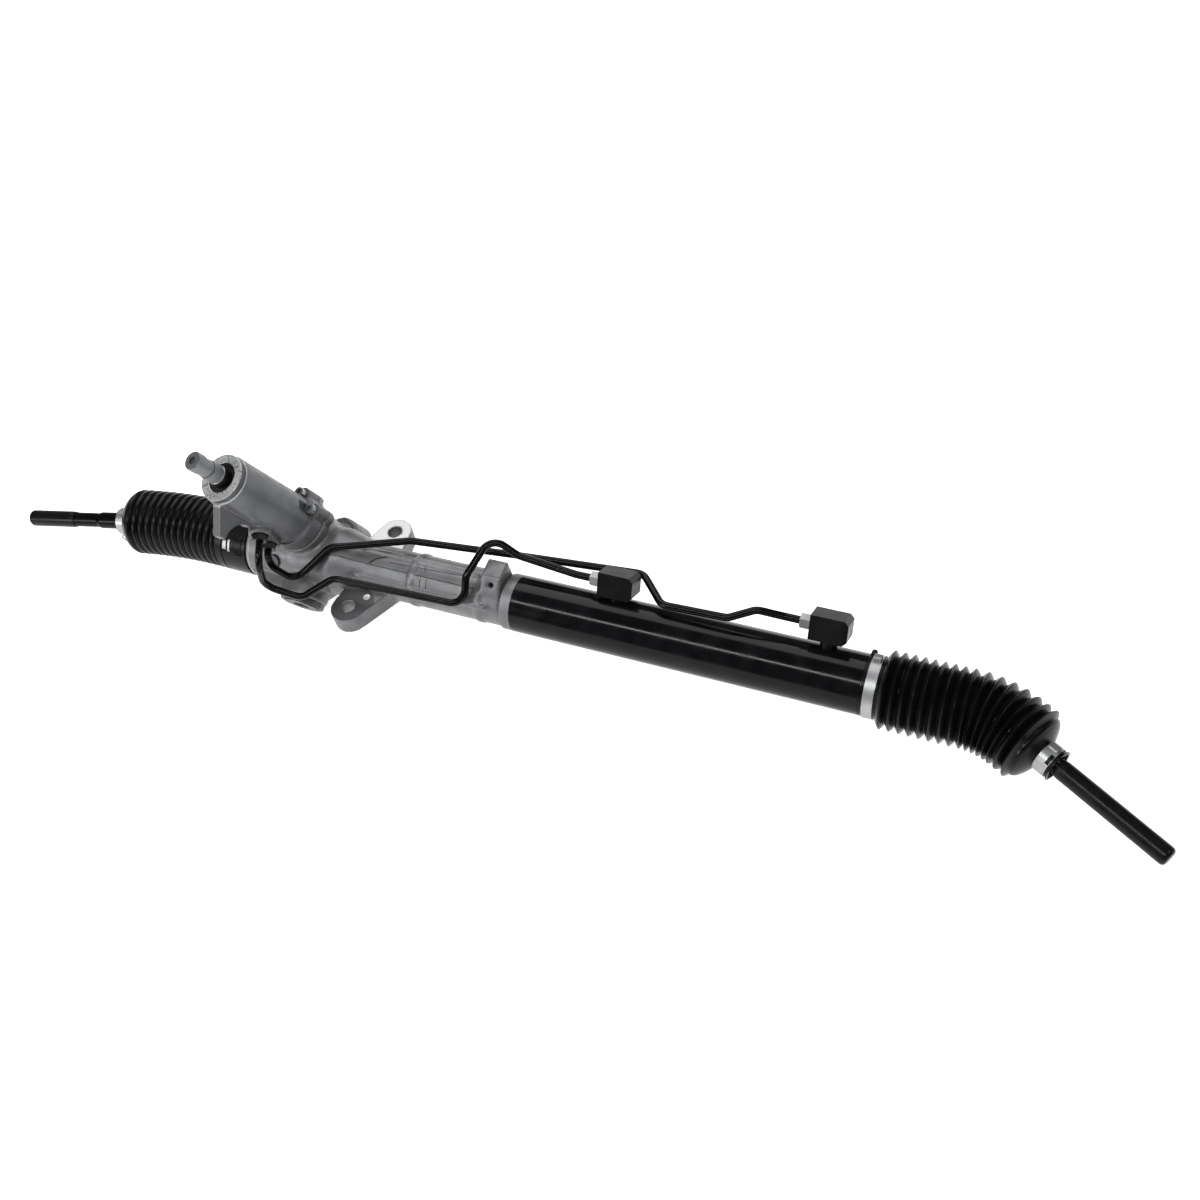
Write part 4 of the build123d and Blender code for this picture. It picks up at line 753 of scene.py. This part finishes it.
def patch(name, line, lengths, turns, base, rise, material, body, sharp=8):
    """Raised patch on a round surface; lengths and turns are where it starts and ends along and
    round the line, base the radius it stands on and rise its height."""
    u, v = np.meshgrid(np.linspace(-1, 1, 17), np.linspace(-1, 1, 25), indexing="ij")
    s = np.interp(u, (-1, 1), lengths)
    turn = np.radians(np.interp(v, (-1, 1), turns))
    height = rise * np.sqrt((1 - np.abs(u) ** sharp) * (1 - np.abs(v) ** sharp))
    centre, direction = line.at(s.ravel())
    aside = np.cross(line.binormal, direction)
    spoke = np.cos(turn).ravel()[:, None] * aside + np.sin(turn).ravel()[:, None] * line.binormal
    top = centre + (base + height).ravel()[:, None] * spoke
    bottom = centre + (base - 0.4) * spoke
    return slab(name, top.reshape(*u.shape, 3), bottom.reshape(*u.shape, 3), material, body)


# %% Buckle, ribs, a nub and a slot
patch("left_buckle_plate", left_line, (-79.0, -74.4), (39, 55), 30.9, 0.9,
      zinc_plate, "housing")
patch("left_buckle_hook", left_line, (-83.2, -80.4), (36, 58), 30.9, 1.2,
      zinc_plate, "housing")
for number, turn in enumerate(np.linspace(33, 65, 9)):
    patch(f"left_cuff_rib_{number}", left_line, (-95.5, -85.5), (turn - 1.1, turn + 1.1), 30.95, 0.9,
          boot_rubber, "housing")
patch("tube_nub", right_line, (-101.0, -96.0), (-152, -138), 24.8, 4.2, boot_rubber, "housing", 4)
patch("right_neck_slot", right_line, (53.0, 56.2), (-88, -50), 12.92, 0.15, block_coat,
      "right_tie_rod", 3)
print("small details on the clamps")

# %% [markdown]
# The casting tube shows the joints of its mould: one long parting line, a second above it, short lines
# across where two mould inserts met, and one curved fillet line that runs over the top to the rear ear.
# They are painted near black, as the painted shadow that each small rib casts. Each follows a path of
# (place along the rack, turn from straight up), and rises by the root of 1 - v^2 across its width.

# %% Mould lines on the casting
def mould_line(name, path, width, rise=0.3):
    """Thin rib over the casting tube along a path of (x, turn in degrees) points."""
    path = np.array(path, float)
    step = np.linspace(0, len(path) - 1, 60)
    x = np.interp(step, np.arange(len(path)), path[:, 0])
    turn = np.radians(np.interp(step, np.arange(len(path)), path[:, 1]))
    radius = np.interp(x, (-28.0, 4.0), (31.0, 23.0))
    way = np.stack((np.gradient(x), np.gradient(turn) * radius))
    way /= np.linalg.norm(way, axis=0)
    v = np.linspace(-1, 1, 7)[:, None]
    x, turn = x - way[1] * v * width / 2, turn + way[0] * v * width / 2 / radius
    height = rise * np.sqrt(1 - v ** 2) + np.zeros_like(x)

    def at(r):
        return np.stack((x, -r * np.sin(turn), r * np.cos(turn)), -1)

    top, bottom = at(radius + height), at(radius - 0.5 + 0 * height)
    return slab(name, top, bottom, seam_shadow, "housing")


mould_line("parting_line", ((-24, 27), (139.5, 27)), 0.7)
mould_line("upper_mould_line", ((28, 13), (100, 4)), 0.6)
mould_line("insert_line_top", ((58.5, -13), (62, 0), (64.5, 15)), 0.6)
mould_line("insert_line_left", ((62, 33), (63, 63)), 0.7)
mould_line("insert_line_right", ((68, 32), (69.3, 58)), 0.7)
mould_line("ear_fillet_line", ((8.7, 25), (14, 12), (22, 2), (30, -10), (38, -17), (52, -19)), 1.8, 0.5)
print("six mould lines")

# %% Wire ear of the left neck clamp
ear_turn = np.linspace(0, 2 * np.pi, 48, endpoint=False)
wire_turn = np.linspace(0, 2 * np.pi, 12, endpoint=False)
ear_from, ear_along = left_line.at(np.array((57.0,)))
ear_aside = np.cross(left_line.binormal, ear_along[0])
ear_out = np.cos(np.radians(-30)) * ear_aside + np.sin(np.radians(-30)) * left_line.binormal
ear_size = 3.6 * (1 + 0.16 * np.cos(3 * ear_turn))
ear_side = np.cross(ear_along[0], ear_out)
rim_way = np.cos(ear_turn)[:, None] * ear_along[0] + np.sin(ear_turn)[:, None] * ear_out
rim_centre = ear_from[0] + 15.2 * ear_out + ear_size[:, None] * rim_way
wire = (rim_centre[:, None, :] + 0.75 * np.cos(wire_turn)[None, :, None] * rim_way[:, None, :]
        + 0.75 * np.sin(wire_turn)[None, :, None] * ear_side)
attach(ring_piece("left_neck_clamp_ear", wire, zinc_plate), "left_tie_rod")
print("wire ear round", rim_centre.mean(0).round(1))
